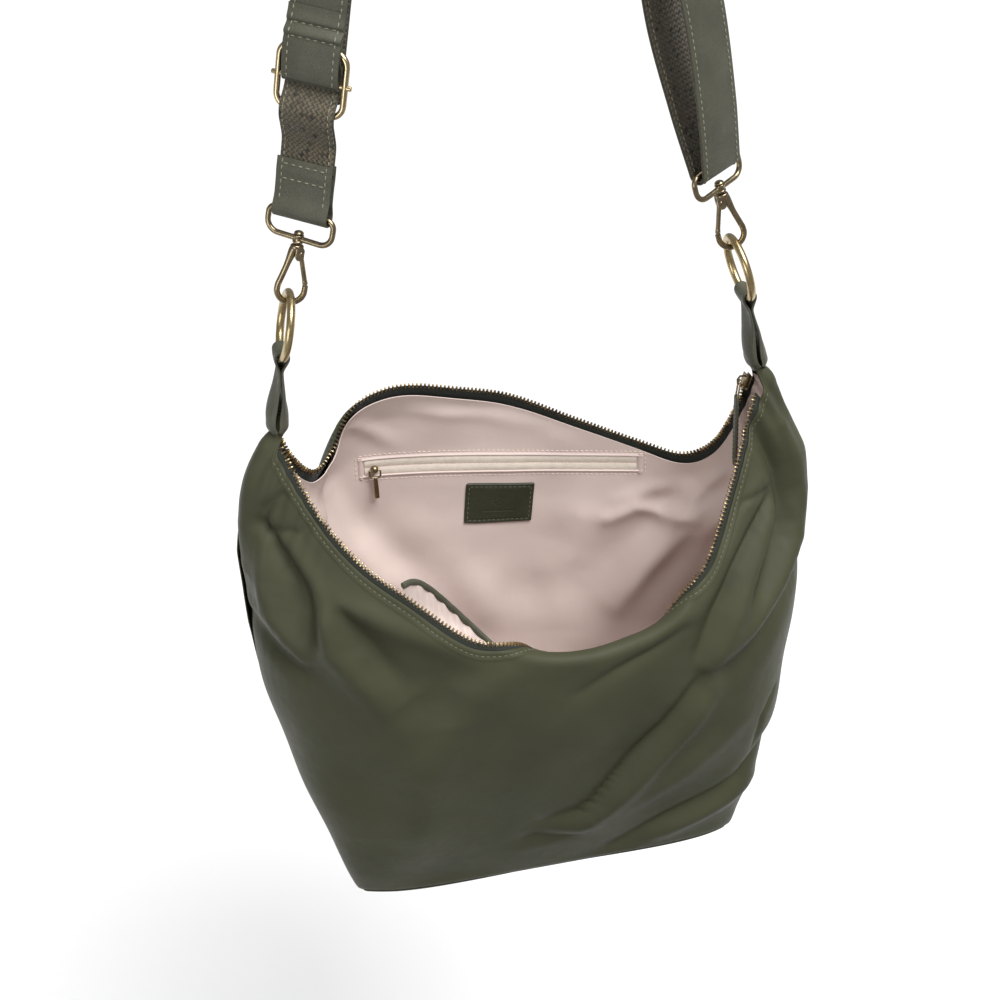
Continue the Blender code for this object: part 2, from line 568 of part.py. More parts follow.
def build_chain(side, word):
    """D-loop, swivel hook, gate, ring: parented to an empty on the strap bar, Z up the chain."""
    bar = (side * STRAP_SPREAD, 0, STRAP_BAR_Z)
    chain = empty(word + "_chain", bar, (0, -side * CHAIN_LEAN, 0))
    gate_side = -side
    low_bar = -LOOP_HEIGHT

    path = rounded_rectangle(LOOP_HALF_WIDTH, 0, low_bar, *LOOP_CORNERS)
    loop = add_object(word + "_d_loop", wire(path, LOOP_WIRE, closed=True), ANTIQUE_BRASS, parent=chain)
    loop.rotation_euler.z = side * STRAP_TWIST
    boss = cylinder(BOSS_RADIUS, low_bar - BOSS_HALF, low_bar + BOSS_HALF)
    boss = add_object(word + "_loop_boss", boss, ANTIQUE_BRASS, parent=chain)
    hole = cylinder(POST_HOLE, low_bar - POST_HOLE_HALF, low_bar + POST_HOLE_HALF)
    hole = add_object(word + "_loop_hole", hole, ANTIQUE_BRASS, parent=chain)
    use_as_tool(boss, loop, 'UNION')
    use_as_tool(hole, loop, 'DIFFERENCE')

    post = cylinder(POST_RADIUS, *POST_REACH, sides=16)
    post = add_object(word + "_swivel_post", post, ANTIQUE_BRASS, (0, 0, low_bar), chain)
    cap = cylinder(CAP_RADII[0], *CAP_REACH, sides=20, top_radius=CAP_RADII[1])
    cap = add_object(word + "_post_cap", cap, ANTIQUE_BRASS, (0, 0, low_bar), chain)
    use_as_tool(cap, post, 'UNION')

    head = box((HEAD_SIDES[0], -HEAD_HALF_DEPTH, -HEAD_BOTTOM), (HEAD_SIDES[1], HEAD_HALF_DEPTH, -HEAD_TOP))
    for vert in head.verts:
        vert.co.x *= gate_side
    upright = [e for e in head.edges if abs(e.verts[0].co.z - e.verts[1].co.z) > MM]
    bmesh.ops.bevel(head, geom=upright, offset=HEAD_BEVEL, segments=2, profile=0.5, affect='EDGES')
    hook = add_object(word + "_hook", head, ANTIQUE_BRASS, (0, 0, low_bar), chain)

    centre_z = -HOOK_DROP + HOOK_RADIUS
    spine = smooth_path([(x * MM, 0, z * MM) for x, z in SPINE], 6)
    bend = [Vector(p) for p in arc(0, centre_z, HOOK_RADIUS, 184, 360, 12)]
    path = spine + bend + [Vector((NOSE_X, 0, -NOSE_DROP))]
    for point in path:
        point.x *= gate_side
    loop_wire = add_object(word + "_hook_wire", wire(path, HOOK_WIRE), ANTIQUE_BRASS, (0, 0, low_bar), chain)
    use_as_tool(loop_wire, hook, 'UNION')

    low, high = sorted((SLOT_START * gate_side, SLOT_END * gate_side))
    slot = box((low, -SLOT_HALF_DEPTH, -HEAD_BOTTOM - MM), (high, SLOT_HALF_DEPTH, SLOT_TOP))
    slot = add_object(word + "_hook_slot", slot, ANTIQUE_BRASS, (0, 0, low_bar), chain)
    socket = cylinder(SOCKET_RADIUS, -SOCKET_DEPTH, 0, sides=16)
    socket = add_object(word + "_hook_socket", socket, ANTIQUE_BRASS, (0, 0, low_bar), chain)
    bore = cylinder(RIVET_HOLE, -HOLE_HALF, HOLE_HALF, 'Y', (RIVET_X * gate_side, 0, -RIVET_DROP), 16)
    bore = add_object(word + "_rivet_bore", bore, ANTIQUE_BRASS, (0, 0, low_bar), chain)
    for tool in (slot, socket, bore):
        use_as_tool(tool, hook, 'DIFFERENCE')

    rivet_at = (RIVET_X * gate_side, 0, low_bar - RIVET_DROP)
    rivet = cylinder(RIVET_RADIUS, -RIVET_HALF, RIVET_HALF, 'Y', sides=14)
    add_object(word + "_gate_rivet", rivet, ANTIQUE_BRASS, rivet_at, chain)

    tip = Vector(((GATE_TIP_X - RIVET_X) * gate_side, 0, RIVET_DROP - NOSE_DROP + GATE_OVERLAP))
    gate = cylinder(GATE_HUB, -GATE_HALF, GATE_HALF, 'Y', sides=16)
    gate = add_object(word + "_gate", gate, ANTIQUE_BRASS, rivet_at, chain)
    arm = wire([tip * 0.06, tip * 0.5, tip], GATE_WIRE)
    arm = add_object(word + "_gate_arm", arm, ANTIQUE_BRASS, rivet_at, chain)
    eye = cylinder(RIVET_HOLE, -HOLE_HALF, HOLE_HALF, 'Y', sides=16)
    eye = add_object(word + "_gate_eye", eye, ANTIQUE_BRASS, rivet_at, chain)
    use_as_tool(arm, gate, 'UNION')
    use_as_tool(eye, gate, 'DIFFERENCE')

    leaf = [(x * MM * gate_side, 0, z * MM) for x, z in LEAF]
    half_width, half_thickness = LEAF_HALF
    outline = box_outline(half_width, -half_thickness, half_thickness)
    leaf = sweep(flat_frames(leaf, Vector((0, 1, 0))), outline)
    add_object(word + "_gate_spring", leaf, ANTIQUE_BRASS, (0, 0, low_bar), chain)

    ring_z = low_bar - HOOK_DROP + RING_SEAT - RING_RADIUS
    add_object(word + "_ring", ring_mesh(RING_WIRE), SATIN_BRASS, (0, 0, ring_z), chain)
    down = Vector((side * math.sin(CHAIN_LEAN), 0, -math.cos(CHAIN_LEAN)))
    return Vector(bar) + down * (RING_RADIUS - ring_z)


def build_end_tab(side, word, ring_bottom):
    """Folded leather tab: an eye round the ring's lowest point, tapering out to the bag's tip."""
    tip = Vector((side * TIP[0], 0, TIP[1]))
    down = tip - ring_bottom
    length = down.length - TAB_FOOT_GAP
    lean = math.atan2(down.x, -down.z)
    eye_radius = RING_WIRE + TAB_EYE_GAP
    top_radius = eye_radius + TAB_EYE_SKIN
    right = [(top_radius, 0, 0)] + arc(0, 0, top_radius, 0, 90, 6)[1:]
    left = [(-x, y, z) for x, y, z in reversed(right[:-1])]
    leg = [(x * MM, 0, z * MM) for x, z in TAB_LEG] + [(-TAB_FOOT, 0, -length)]
    outline = right + left + leg + [(-x, y, z) for x, y, z in reversed(leg)]
    frames, stations = [], 8
    bm = bmesh.new()
    for k in range(stations + 1):
        row = []
        for x, _, z in outline:
            half = TAB_HALF + TAB_FLARE * min(max(-z / length, 0), 1)
            y = half * (2 * k / stations - 1)
            rise = RING_RADIUS - math.sqrt(RING_RADIUS ** 2 - y * y)
            row.append(bm.verts.new((x, y, z + rise * min(max(1 + z / TAB_ROUND, 0), 1))))
        frames.append(row)
    for low, high in zip(frames, frames[1:]):
        for k in range(len(outline)):
            m = (k + 1) % len(outline)
            bm.faces.new((low[k], low[m], high[m], high[k]))
    bm.faces.new(frames[0])
    bm.faces.new(frames[-1])
    tab = add_object(word + "_end_tab", bm, OLIVE_LEATHER, ring_bottom)
    tab.rotation_euler.y = -lean
    eye = ring_mesh(eye_radius)
    bmesh.ops.translate(eye, verts=eye.verts, vec=(0, 0, RING_RADIUS))
    eye = add_object(word + "_tab_eye", eye, OLIVE_LEATHER, ring_bottom)
    eye.rotation_euler.y = -side * CHAIN_LEAN
    use_as_tool(eye, tab, 'DIFFERENCE')


# ---------------------------------------------------------------- bag walls

FRONT, BACK = -1, 1


def rim_point(side, t):
    """Point on a rim at share t of its length, left tip to right tip."""
    path = RIM_PATHS[side]
    place = min(max(t, 0), 1) * (len(path) - 1)
    k = min(int(place), len(path) - 2)
    return path[k].lerp(path[k + 1], place - k)


def section_point(side, t, z):
    """Point on the bag's flat section at height z; t runs from the left seam to the right."""
    height = z / MM
    width = table(HALF_WIDTH, height) * MM
    depth = table(FRONT_DEPTH if side == FRONT else BACK_DEPTH, height) * MM
    power = 2 / table(SQUARENESS, height)
    cosine, sine = math.cos(math.pi * t), max(math.sin(math.pi * t), 0)
    x = -width * math.copysign(abs(cosine) ** power, cosine)
    return Vector((x, side * depth * sine ** power, z))


def wall_point(side, t, v):
    """Outer face of the front or back wall; v is 0 at the rim and 1 at the base."""
    rim = rim_point(side, t)
    z = rim.z + (BASE_Z - rim.z) * v
    shift = rim - section_point(side, t, rim.z)
    return section_point(side, t, z) + shift * max(1 - v, 0) ** RIM_FADE


def wall_normal(side, t, v):
    step = 0.004
    v = max(v, 0)
    t0, t1 = max(t - step, 0), min(t + step, 1)
    v0, v1 = max(v - step, 0), min(v + step, 1)
    along = wall_point(side, t1, v) - wall_point(side, t0, v)
    down = wall_point(side, t, v1) - wall_point(side, t, v0)
    return (down.cross(along) * -side).normalized()


def layer_point(side, t, v, depth):
    """A point under the wall's outer face, kept on its own side of the seam."""
    point = wall_point(side, t, v) - wall_normal(side, t, v) * depth
    point.y = side * max(side * point.y, GAP)
    return point


def seam_spaced(k, count):
    """Shares of the wall's width that crowd towards both seams."""
    return 0.5 - 0.5 * math.cos(math.pi * k / count)


def drop(side, t, distance):
    """The v that lies a distance below the rim."""
    rim = rim_point(side, t)
    return distance / max((wall_point(side, t, 0.1) - rim).length * 10, 20 * MM)


def split_quad(bm, a, b, c, d):
    """Two triangles, so that a twisted quad has one definite shape."""
    bm.faces.new((a, b, c))
    bm.faces.new((a, c, d))


def sheet(columns, rows, outer, inner):
    """Closed sheet between two grids of points given as functions of (column, row)."""
    bm = bmesh.new()
    grids = [[[bm.verts.new(face(i, j)) for j in range(rows + 1)] for i in range(columns + 1)]
             for face in (outer, inner)]
    for grid in grids:
        for i in range(columns):
            for j in range(rows):
                split_quad(bm, grid[i][j], grid[i + 1][j], grid[i + 1][j + 1], grid[i][j + 1])
    edge = [(i, 0) for i in range(columns)] + [(columns, j) for j in range(rows)]
    edge += [(i, rows) for i in range(columns, 0, -1)] + [(0, j) for j in range(rows, 0, -1)]
    top, under = grids
    for (i, j), (m, n) in zip(edge, edge[1:] + edge[:1]):
        split_quad(bm, top[i][j], top[m][n], under[m][n], under[i][j])
    return bm


def wall_band(name, side, depth, thickness, edges, finish, columns=(0, COLUMNS)):
    """Part of a wall between two distances below the rim."""
    levels = [edges[0], (edges[0] + edges[1]) / 2, edges[1]]

    def place(i, j, at_depth):
        t = seam_spaced(columns[0] + i, COLUMNS)
        return layer_point(side, t, drop(side, t, levels[j]), at_depth)
    bm = sheet(columns[1] - columns[0], 2, lambda i, j: place(i, j, depth),
               lambda i, j: place(i, j, depth + thickness))
    add_object(name, bm, finish)


def wall_layer(name, side, depth, thickness, edge, finish):
    """A whole layer of a wall: from its edge to the zip tape's lower edge, then to the base."""
    levels = [edge, (edge + TAPE_EDGES[1]) / 2, TAPE_EDGES[1]]
    near = len(levels) - 1

    def place(i, j, at_depth):
        t = seam_spaced(i, COLUMNS)
        if j <= near:
            v = drop(side, t, levels[j])
        else:
            start = drop(side, t, levels[near])
            v = start + (1 - start) * ((j - near) / LOWER_ROWS) ** ROW_CROWDING
        return layer_point(side, t, v, at_depth)
    bm = sheet(COLUMNS, near + LOWER_ROWS, lambda i, j: place(i, j, depth),
               lambda i, j: place(i, j, depth + thickness))
    return add_object(name, bm, finish)


def share_at(side, x, z):
    """The wall's (t, v) at a given x and z."""
    low, high = 0.0, 1.0
    for _ in range(40):
        t = (low + high) / 2
        rim_z = rim_point(side, t).z
        v = min(max((z - rim_z) / (BASE_Z - rim_z), 0), 1)
        if wall_point(side, t, v).x < x:
            low = t
        else:
            high = t
    return t, v


def wall_patch(name, side, columns, rows, place, depth, thickness, finish):
    """Sheet on a wall; place(a, b) gives x and z for shares a across and b down."""
    def face(i, j, extra):
        a, b = i / columns, j / rows
        x, z = place(a, b)
        t, v = share_at(side, x, z)
        base = depth(a, b) if callable(depth) else depth
        return layer_point(side, t, v, base + extra)
    bm = sheet(columns, rows, lambda i, j: face(i, j, 0), lambda i, j: face(i, j, thickness))
    return add_object(name, bm, finish)


def base_plate(name, inset, faces, finish):
    """Flat panel inside the walls' lowest section, between two heights measured from it."""
    bm = bmesh.new()
    outline = []
    for side, order in ((FRONT, range(COLUMNS)), (BACK, range(COLUMNS, 0, -1))):
        for k in order:
            t = seam_spaced(k, COLUMNS)
            outline.append(section_point(side, t, BASE_Z))
    corner = table(HALF_WIDTH, BASE_Z / MM) * MM, table(FRONT_DEPTH, BASE_Z / MM) * MM
    layers = []
    for z in (BASE_Z + lift for lift in faces):
        layers.append([bm.verts.new((p.x * (1 - inset / corner[0]), p.y * (1 - inset / corner[1]), z))
                       for p in outline])
    for k in range(len(outline)):
        m = (k + 1) % len(outline)
        bm.faces.new((layers[0][k], layers[0][m], layers[1][m], layers[1][k]))
    bm.faces.new(layers[0])
    bm.faces.new(layers[1])
    add_object(name, bm, finish)


def build_walls():
    wall_layer("bag_front", FRONT, 0, SHELL, SHELL_EDGE, OLIVE_NYLON)
    wall_layer("bag_back", BACK, 0, SHELL, SHELL_EDGE, OLIVE_NYLON)
    wall_layer("lining_front", FRONT, FRONT_LINING_DEPTH, LINING, LINING_EDGE, BLUSH_LINING)
    back = wall_layer("lining_back", BACK, BACK_LINING_DEPTH, LINING, LINING_EDGE, BLUSH_LINING)
    base_plate("bag_base", BASE_INSET, BASE_PANEL, OLIVE_NYLON)
    base_plate("lining_base", LINING_INSET, LINING_PANEL, BLUSH_LINING)
    for word, side in (("front", FRONT), ("back", BACK)):
        wall_band("zip_tape_" + word, side, TAPE_DEPTH, TAPE, TAPE_EDGES, BLACK_TAPE, TAPE_COLUMNS)
        wall_band("zip_teeth_" + word, side, TEETH_DEPTH, TEETH, TEETH_EDGES, DARK_BRASS, TAPE_COLUMNS)
    return back


# ---------------------------------------------------------------- pockets and patch

def pocket_line(a):
    """x and z at share a along the pocket's zip, in metres."""
    x = POCKET_LEFT[0] + (POCKET_RIGHT[0] - POCKET_LEFT[0]) * a
    z = POCKET_LEFT[1] + (POCKET_RIGHT[1] - POCKET_LEFT[1]) * a
    return x * MM, z * MM


def pocket_strip(low, high, trim):
    """Place function for a strip beside the pocket's zip, running past both its ends."""
    def place(a, b):
        x, z = pocket_line(-trim + (1 + 2 * trim) * a)
        return x, z + high + (low - high) * b
    return place


def build_zip_pocket(lining_back):
    half = POCKET_WINDOW / 2
    ends = [Vector((x, 0, z)) for x, z in (pocket_line(0), pocket_line(1))]
    middle, run = (ends[0] + ends[1]) / 2, ends[1] - ends[0]
    slope = -math.atan2(run.z, run.x)
    window = box((-run.length / 2, WINDOW_CUT[0], -half), (run.length / 2, WINDOW_CUT[1], half))
    window = add_object("pocket_window", window, BLUSH_LINING, middle + Vector((0, WINDOW_CUT_Y, 0)))
    window.rotation_euler.y = slope
    use_as_tool(window, lining_back, 'DIFFERENCE')

    near, far = POCKET_TAPE_EDGES
    for word, low, high in (("upper", near, far), ("lower", -far, -near)):
        strip = pocket_strip(low, high, POCKET_TRIMS["tape"])
        wall_patch("pocket_tape_" + word, BACK, 16, 1, strip, *POCKET_TAPE, CREAM_TAPE)
    strip = pocket_strip(-COIL_HALF, COIL_HALF, POCKET_TRIMS["coil"])
    wall_patch("pocket_coil", BACK, 16, 1, strip, POCKET_TAPE[0], COIL, CREAM_TAPE)
    strip = pocket_strip(-POCKET_DEPTH, MM, POCKET_TRIMS["bag"])
    wall_patch("pocket_bag", BACK, 16, 6, strip, *POCKET_BAG, BLUSH_LINING)


def build_patch():
    width, height = PATCH_SIZE
    cosine, sine = math.cos(PATCH_TILT), math.sin(PATCH_TILT)

    def place(a, b):
        across, up = (a - 0.5) * width, (0.5 - b) * height
        return (PATCH_CENTRE[0] * MM + across * cosine - up * sine,
                PATCH_CENTRE[1] * MM + across * sine + up * cosine)
    depth = BACK_LINING_DEPTH + LINING + PATCH_GAP
    wall_patch("leather_patch", BACK, 4, 3, place, depth, PATCH, OLIVE_LEATHER)


def slip_top(a):
    """x and z at share a along the slip pocket's upper edge, in metres."""
    x = SLIP_TOP[0][0] + (SLIP_TOP[-1][0] - SLIP_TOP[0][0]) * a
    return x * MM, table(SLIP_TOP, x) * MM


def slip_depth(a, b):
    """The pocket's sheet lies on the lining at its sides and base, and gapes at its top."""
    gape = SLIP_GAPE * math.sin(math.pi * a) ** 0.8 * (1 - b) ** 1.5
    return FRONT_LINING_DEPTH + LINING + SLIP_GAP + gape


def build_slip_pocket():
    def body(a, b):
        x, z = slip_top(a)
        return x, z + (SLIP_BASE * MM - z) * b

    def edge(a, b):
        x, z = slip_top(a)
        return x, z + SLIP_BINDING_EDGES[0] - SLIP_BINDING_EDGES[1] * b
    wall_patch("slip_pocket", FRONT, 14, 6, body, slip_depth, SLIP_SHEET, BLUSH_LINING)
    wall_patch("slip_pocket_binding", FRONT, 14, 1, edge, lambda a, b: slip_depth(a, 0) + SLIP_BINDING[0],
               SLIP_BINDING[1], OLIVE_LEATHER)


# ---------------------------------------------------------------- zip sliders and pullers

def build_main_slider():
    """Slider parked at the right end of the open zip, its link and its leather puller."""
    centre = Vector(SLIDER_CENTRE)
    ends = (-SLIDER_HALF, SLIDER_HALF)
    frames = [(Vector((0, 0, z * MM)), Vector((0, 1, 0)), Vector((-1, 0, 0))) for z in ends]
    body = sweep(frames, [(a * MM, b * MM) for a, b in SLIDER_OUTLINE])
    slider = add_object("main_slider", body, ANTIQUE_BRASS, centre)
    slider.rotation_euler.y = SLIDER_SLOPE
    bridge = wire([(x * MM, 0, z * MM) for x, z in BRIDGE], BRIDGE_WIRE, sides=8)
    bridge = add_object("main_slider_bridge", bridge, ANTIQUE_BRASS, centre)
    bridge.rotation_euler.y = SLIDER_SLOPE
    use_as_tool(bridge, slider, 'UNION')

    hang = centre + Vector((-LINK_HANG * math.cos(SLIDER_SLOPE), 0, LINK_HANG * math.sin(SLIDER_SLOPE)))
    link = [(LINK_HALF, -LINK_CORNER), (LINK_HALF, -LINK_SIDE), (LINK_CORNER, -LINK_DROP),
            (-LINK_CORNER, -LINK_DROP), (-LINK_HALF, -LINK_SIDE), (-LINK_HALF, -LINK_CORNER),
            (-LINK_CORNER, 0), (LINK_CORNER, 0)]
    link = [(0, y * MM, z * MM) for y, z in link]
    link = sweep(flat_frames(link, Vector((1, 0, 0)), closed=True), circle_outline(LINK_WIRE, 8), closed=True)
    link = add_object("main_puller_link", link, ANTIQUE_BRASS, hang)
    link.rotation_euler.y = LINK_LEAN
    low = hang + Vector((-math.sin(LINK_LEAN), 0, -math.cos(LINK_LEAN))) * LINK_DROP * MM
    strip = cylinder(PULLER_HUB, -PULLER_HUB_HALF, PULLER_HUB_HALF, 'Y', sides=16)
    strip = add_object("main_puller", strip, OLIVE_LEATHER, low)
    tail = add_object("main_puller_tail", box(*PULLER_STRIP), OLIVE_LEATHER, low)
    eye = cylinder(PULLER_EYE, -HOLE_HALF, HOLE_HALF, 'Y', sides=14)
    eye = add_object("main_puller_eye", eye, OLIVE_LEATHER, low)
    use_as_tool(tail, strip, 'UNION')
    use_as_tool(eye, strip, 'DIFFERENCE')

    for word, side in (("left", -1), ("right", 1)):
        stop = box([-half for half in STOP_HALF], STOP_HALF)
        add_object("zip_stop_" + word, stop, DARK_BRASS, (side * STOP_PLACE[0], 0, STOP_PLACE[1]))


def build_pocket_slider():
    """Ball-shaped slider near the left end of the pocket's zip, with a hanging bar puller."""
    x, z = pocket_line(BALL_PLACE)
    t, v = share_at(BACK, x, z)
    face = layer_point(BACK, t, v, BACK_LINING_DEPTH + LINING)
    centre = face + Vector((0, -BALL_LIFT, 0))
    ball = bmesh.new()
    bmesh.ops.create_uvsphere(ball, u_segments=16, v_segments=10, radius=BALL_RADIUS)
    slider = add_object("pocket_slider", ball, ANTIQUE_BRASS, centre)
    hole = cylinder(BALL_EYE, -HOLE_HALF, HOLE_HALF, 'X', BALL_PIN, 12)
    hole = add_object("pocket_slider_eye", hole, ANTIQUE_BRASS, centre)
    use_as_tool(hole, slider, 'DIFFERENCE')

    pin = centre + Vector(BALL_PIN)
    puller = wire([(a * MM, 0, b * MM) for a, b in WIRE_LOOP], WIRE_LOOP_WIRE, closed=True, sides=8)
    puller = add_object("pocket_puller", puller, ANTIQUE_BRASS, pin)
    bar = add_object("pocket_puller_bar", box(*PULL_BAR), ANTIQUE_BRASS, pin)
    use_as_tool(bar, puller, 'UNION')


def build_bag():
    clear_scene()
    build_strap()
    build_strap_tab()
    build_adjuster()
    build_loop_end()
    for side, word in ((-1, "left"), (1, "right")):
        ring_bottom = build_chain(side, word)
        build_end_tab(side, word, ring_bottom)
    lining_back = build_walls()
    build_zip_pocket(lining_back)
    build_patch()
    build_slip_pocket()
    build_main_slider()
    build_pocket_slider()


RIM_PATHS = {FRONT: smooth_path([(x * MM, y * MM, z * MM) for x, y, z in FRONT_RIM], RIM_STEPS),
             BACK: smooth_path([(x * MM, y * MM, z * MM) for x, y, z in BACK_RIM], RIM_STEPS)}

build_bag()
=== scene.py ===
"""Looks of a slouchy hobo crossbody bag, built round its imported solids.

Lengths are in metres unless a name or comment says millimetres. +Z is up, the front faces -Y and
the origin is where the strap hangs.
"""

import json
import math

import bpy
import numpy as np
from mathutils import Matrix, Vector

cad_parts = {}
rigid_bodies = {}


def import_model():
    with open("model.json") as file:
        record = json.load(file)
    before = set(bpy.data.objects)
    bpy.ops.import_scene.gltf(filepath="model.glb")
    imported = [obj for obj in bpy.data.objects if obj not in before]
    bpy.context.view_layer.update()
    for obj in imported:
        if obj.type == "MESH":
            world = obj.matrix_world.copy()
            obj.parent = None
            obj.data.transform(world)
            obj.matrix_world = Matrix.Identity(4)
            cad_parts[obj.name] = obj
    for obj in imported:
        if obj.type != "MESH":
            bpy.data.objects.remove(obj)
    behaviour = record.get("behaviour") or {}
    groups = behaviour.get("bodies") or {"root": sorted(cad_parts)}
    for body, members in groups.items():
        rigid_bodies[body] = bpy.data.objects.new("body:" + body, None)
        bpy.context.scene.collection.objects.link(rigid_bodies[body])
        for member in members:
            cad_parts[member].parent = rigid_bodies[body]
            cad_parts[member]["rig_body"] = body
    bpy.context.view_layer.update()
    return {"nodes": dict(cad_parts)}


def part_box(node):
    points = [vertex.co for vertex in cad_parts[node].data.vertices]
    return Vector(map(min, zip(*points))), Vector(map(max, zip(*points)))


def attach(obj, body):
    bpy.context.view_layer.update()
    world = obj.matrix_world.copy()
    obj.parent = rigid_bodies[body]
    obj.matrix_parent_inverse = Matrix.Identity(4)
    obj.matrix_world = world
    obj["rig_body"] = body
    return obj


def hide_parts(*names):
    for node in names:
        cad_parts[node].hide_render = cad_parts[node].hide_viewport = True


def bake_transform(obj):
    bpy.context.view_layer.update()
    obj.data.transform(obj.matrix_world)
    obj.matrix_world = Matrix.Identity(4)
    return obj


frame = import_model()

MM = 0.001
FRONT, BACK = -1, 1
UP = np.array((0.0, 0.0, 1.0))
UNIT_Y = np.array((0.0, 1.0, 0.0))
SHARP_ANGLE = math.radians(50)   # edges turning more than this look sharp

# The bag's walls, as its solids have them (rows in millimetres).
BASE_Z = -828 * MM
RIM_FADE = 2.2
RIMS = {
    FRONT: [(-160, 0, -465), (-158, -6, -467), (-150, -20, -489), (-138, -40, -513), (-118, -63, -535),
            (-92, -78, -556), (-60, -88, -584), (-22, -93, -603), (20, -93, -609), (60, -87, -603),
            (90, -77, -590), (112, -61, -558), (130, -40, -528), (146, -20, -497), (158, -6, -467),
            (160, 0, -465)],
    BACK: [(-160, 0, -465), (-158, 6, -467), (-150, 14, -492), (-137, 26, -511), (-123, 38, -503),
           (-108, 47, -480), (-84, 53, -472), (-50, 57, -475), (0, 59, -490), (50, 58, -516),
           (92, 55, -538), (122, 46, -549), (140, 32, -536), (150, 18, -506), (158, 6, -467),
           (160, 0, -465)],
}
HALF_WIDTH = [(-465, 160), (-500, 178), (-550, 189), (-600, 191), (-660, 186), (-720, 174), (-780, 157),
              (-828, 142)]
DEPTHS = {
    FRONT: [(-465, 16), (-500, 46), (-550, 78), (-600, 93), (-660, 91), (-720, 77), (-780, 57), (-828, 40)],
    BACK: [(-465, 30), (-500, 52), (-550, 60), (-600, 63), (-660, 63), (-720, 58), (-780, 49), (-828, 40)],
}
SQUARENESS = [(-462, 2.4), (-560, 2.8), (-700, 3.0), (-828, 5.0)]

# Layers of the walls, as depths under the nylon's outer face, and the zip's place below the rim.
NYLON = 0.8 * MM
TAPE_DEPTH, TAPE = 1.3 * MM, 0.6 * MM
LINING_DEPTH = {FRONT: 2.6 * MM, BACK: 4.8 * MM}
LINING = 0.6 * MM
HEM = 4.5 * MM                   # nylon's folded edge, below the line of teeth
HEM_STITCH = 3.6 * MM            # topstitching, below the hem's edge
LINING_EDGE = 6.6 * MM
ZIP_ENDS = (0.027, 0.958)        # shares of the rim where the teeth start and end
TOOTH_PITCH = 2.75 * MM
ROLL_RADIUS = 6.5 * MM           # the front rim's middle rolls inwards and hides its zip
ROLL_TURN = math.radians(150)
ROLL_EXTRA = 24 * MM
BASE_ROUND = 4 * MM
CORNER_DROOP = 8 * MM            # the base's two corners hang lower than its middle
TIP_COVER = 12 * MM              # nylon's reach up into the leather tabs
SHOULDER = {FRONT: 6 * MM, BACK: 1.5 * MM}   # how far the cloth swells out just below each tab

NYLON_COLUMNS, LINING_COLUMNS, BASE_COLUMNS = 300, 220, 120   # from one side seam to the other
SEAM_REACH = 0.13                # share of the wall, from a side seam, over which its corner droops
ROLL_SPANS = (0.365, 0.51, 0.60, 0.75)   # shares of the rim: roll starts, is full, ebbs, ends
TUCK_REACH, TUCK_FADE = 0.11, 55 * MM    # how far the tucks at the two tips reach, along and down
TUCK_COUNT, TUCK_HEIGHT = 44, 0.9 * MM
TIP_REACH = 0.085                # share of the rim that swells below a tab
WALL_WAVES, LINING_WAVES = (85 * MM, 0.8 * MM), (50 * MM, 0.7 * MM)   # wavelength and height

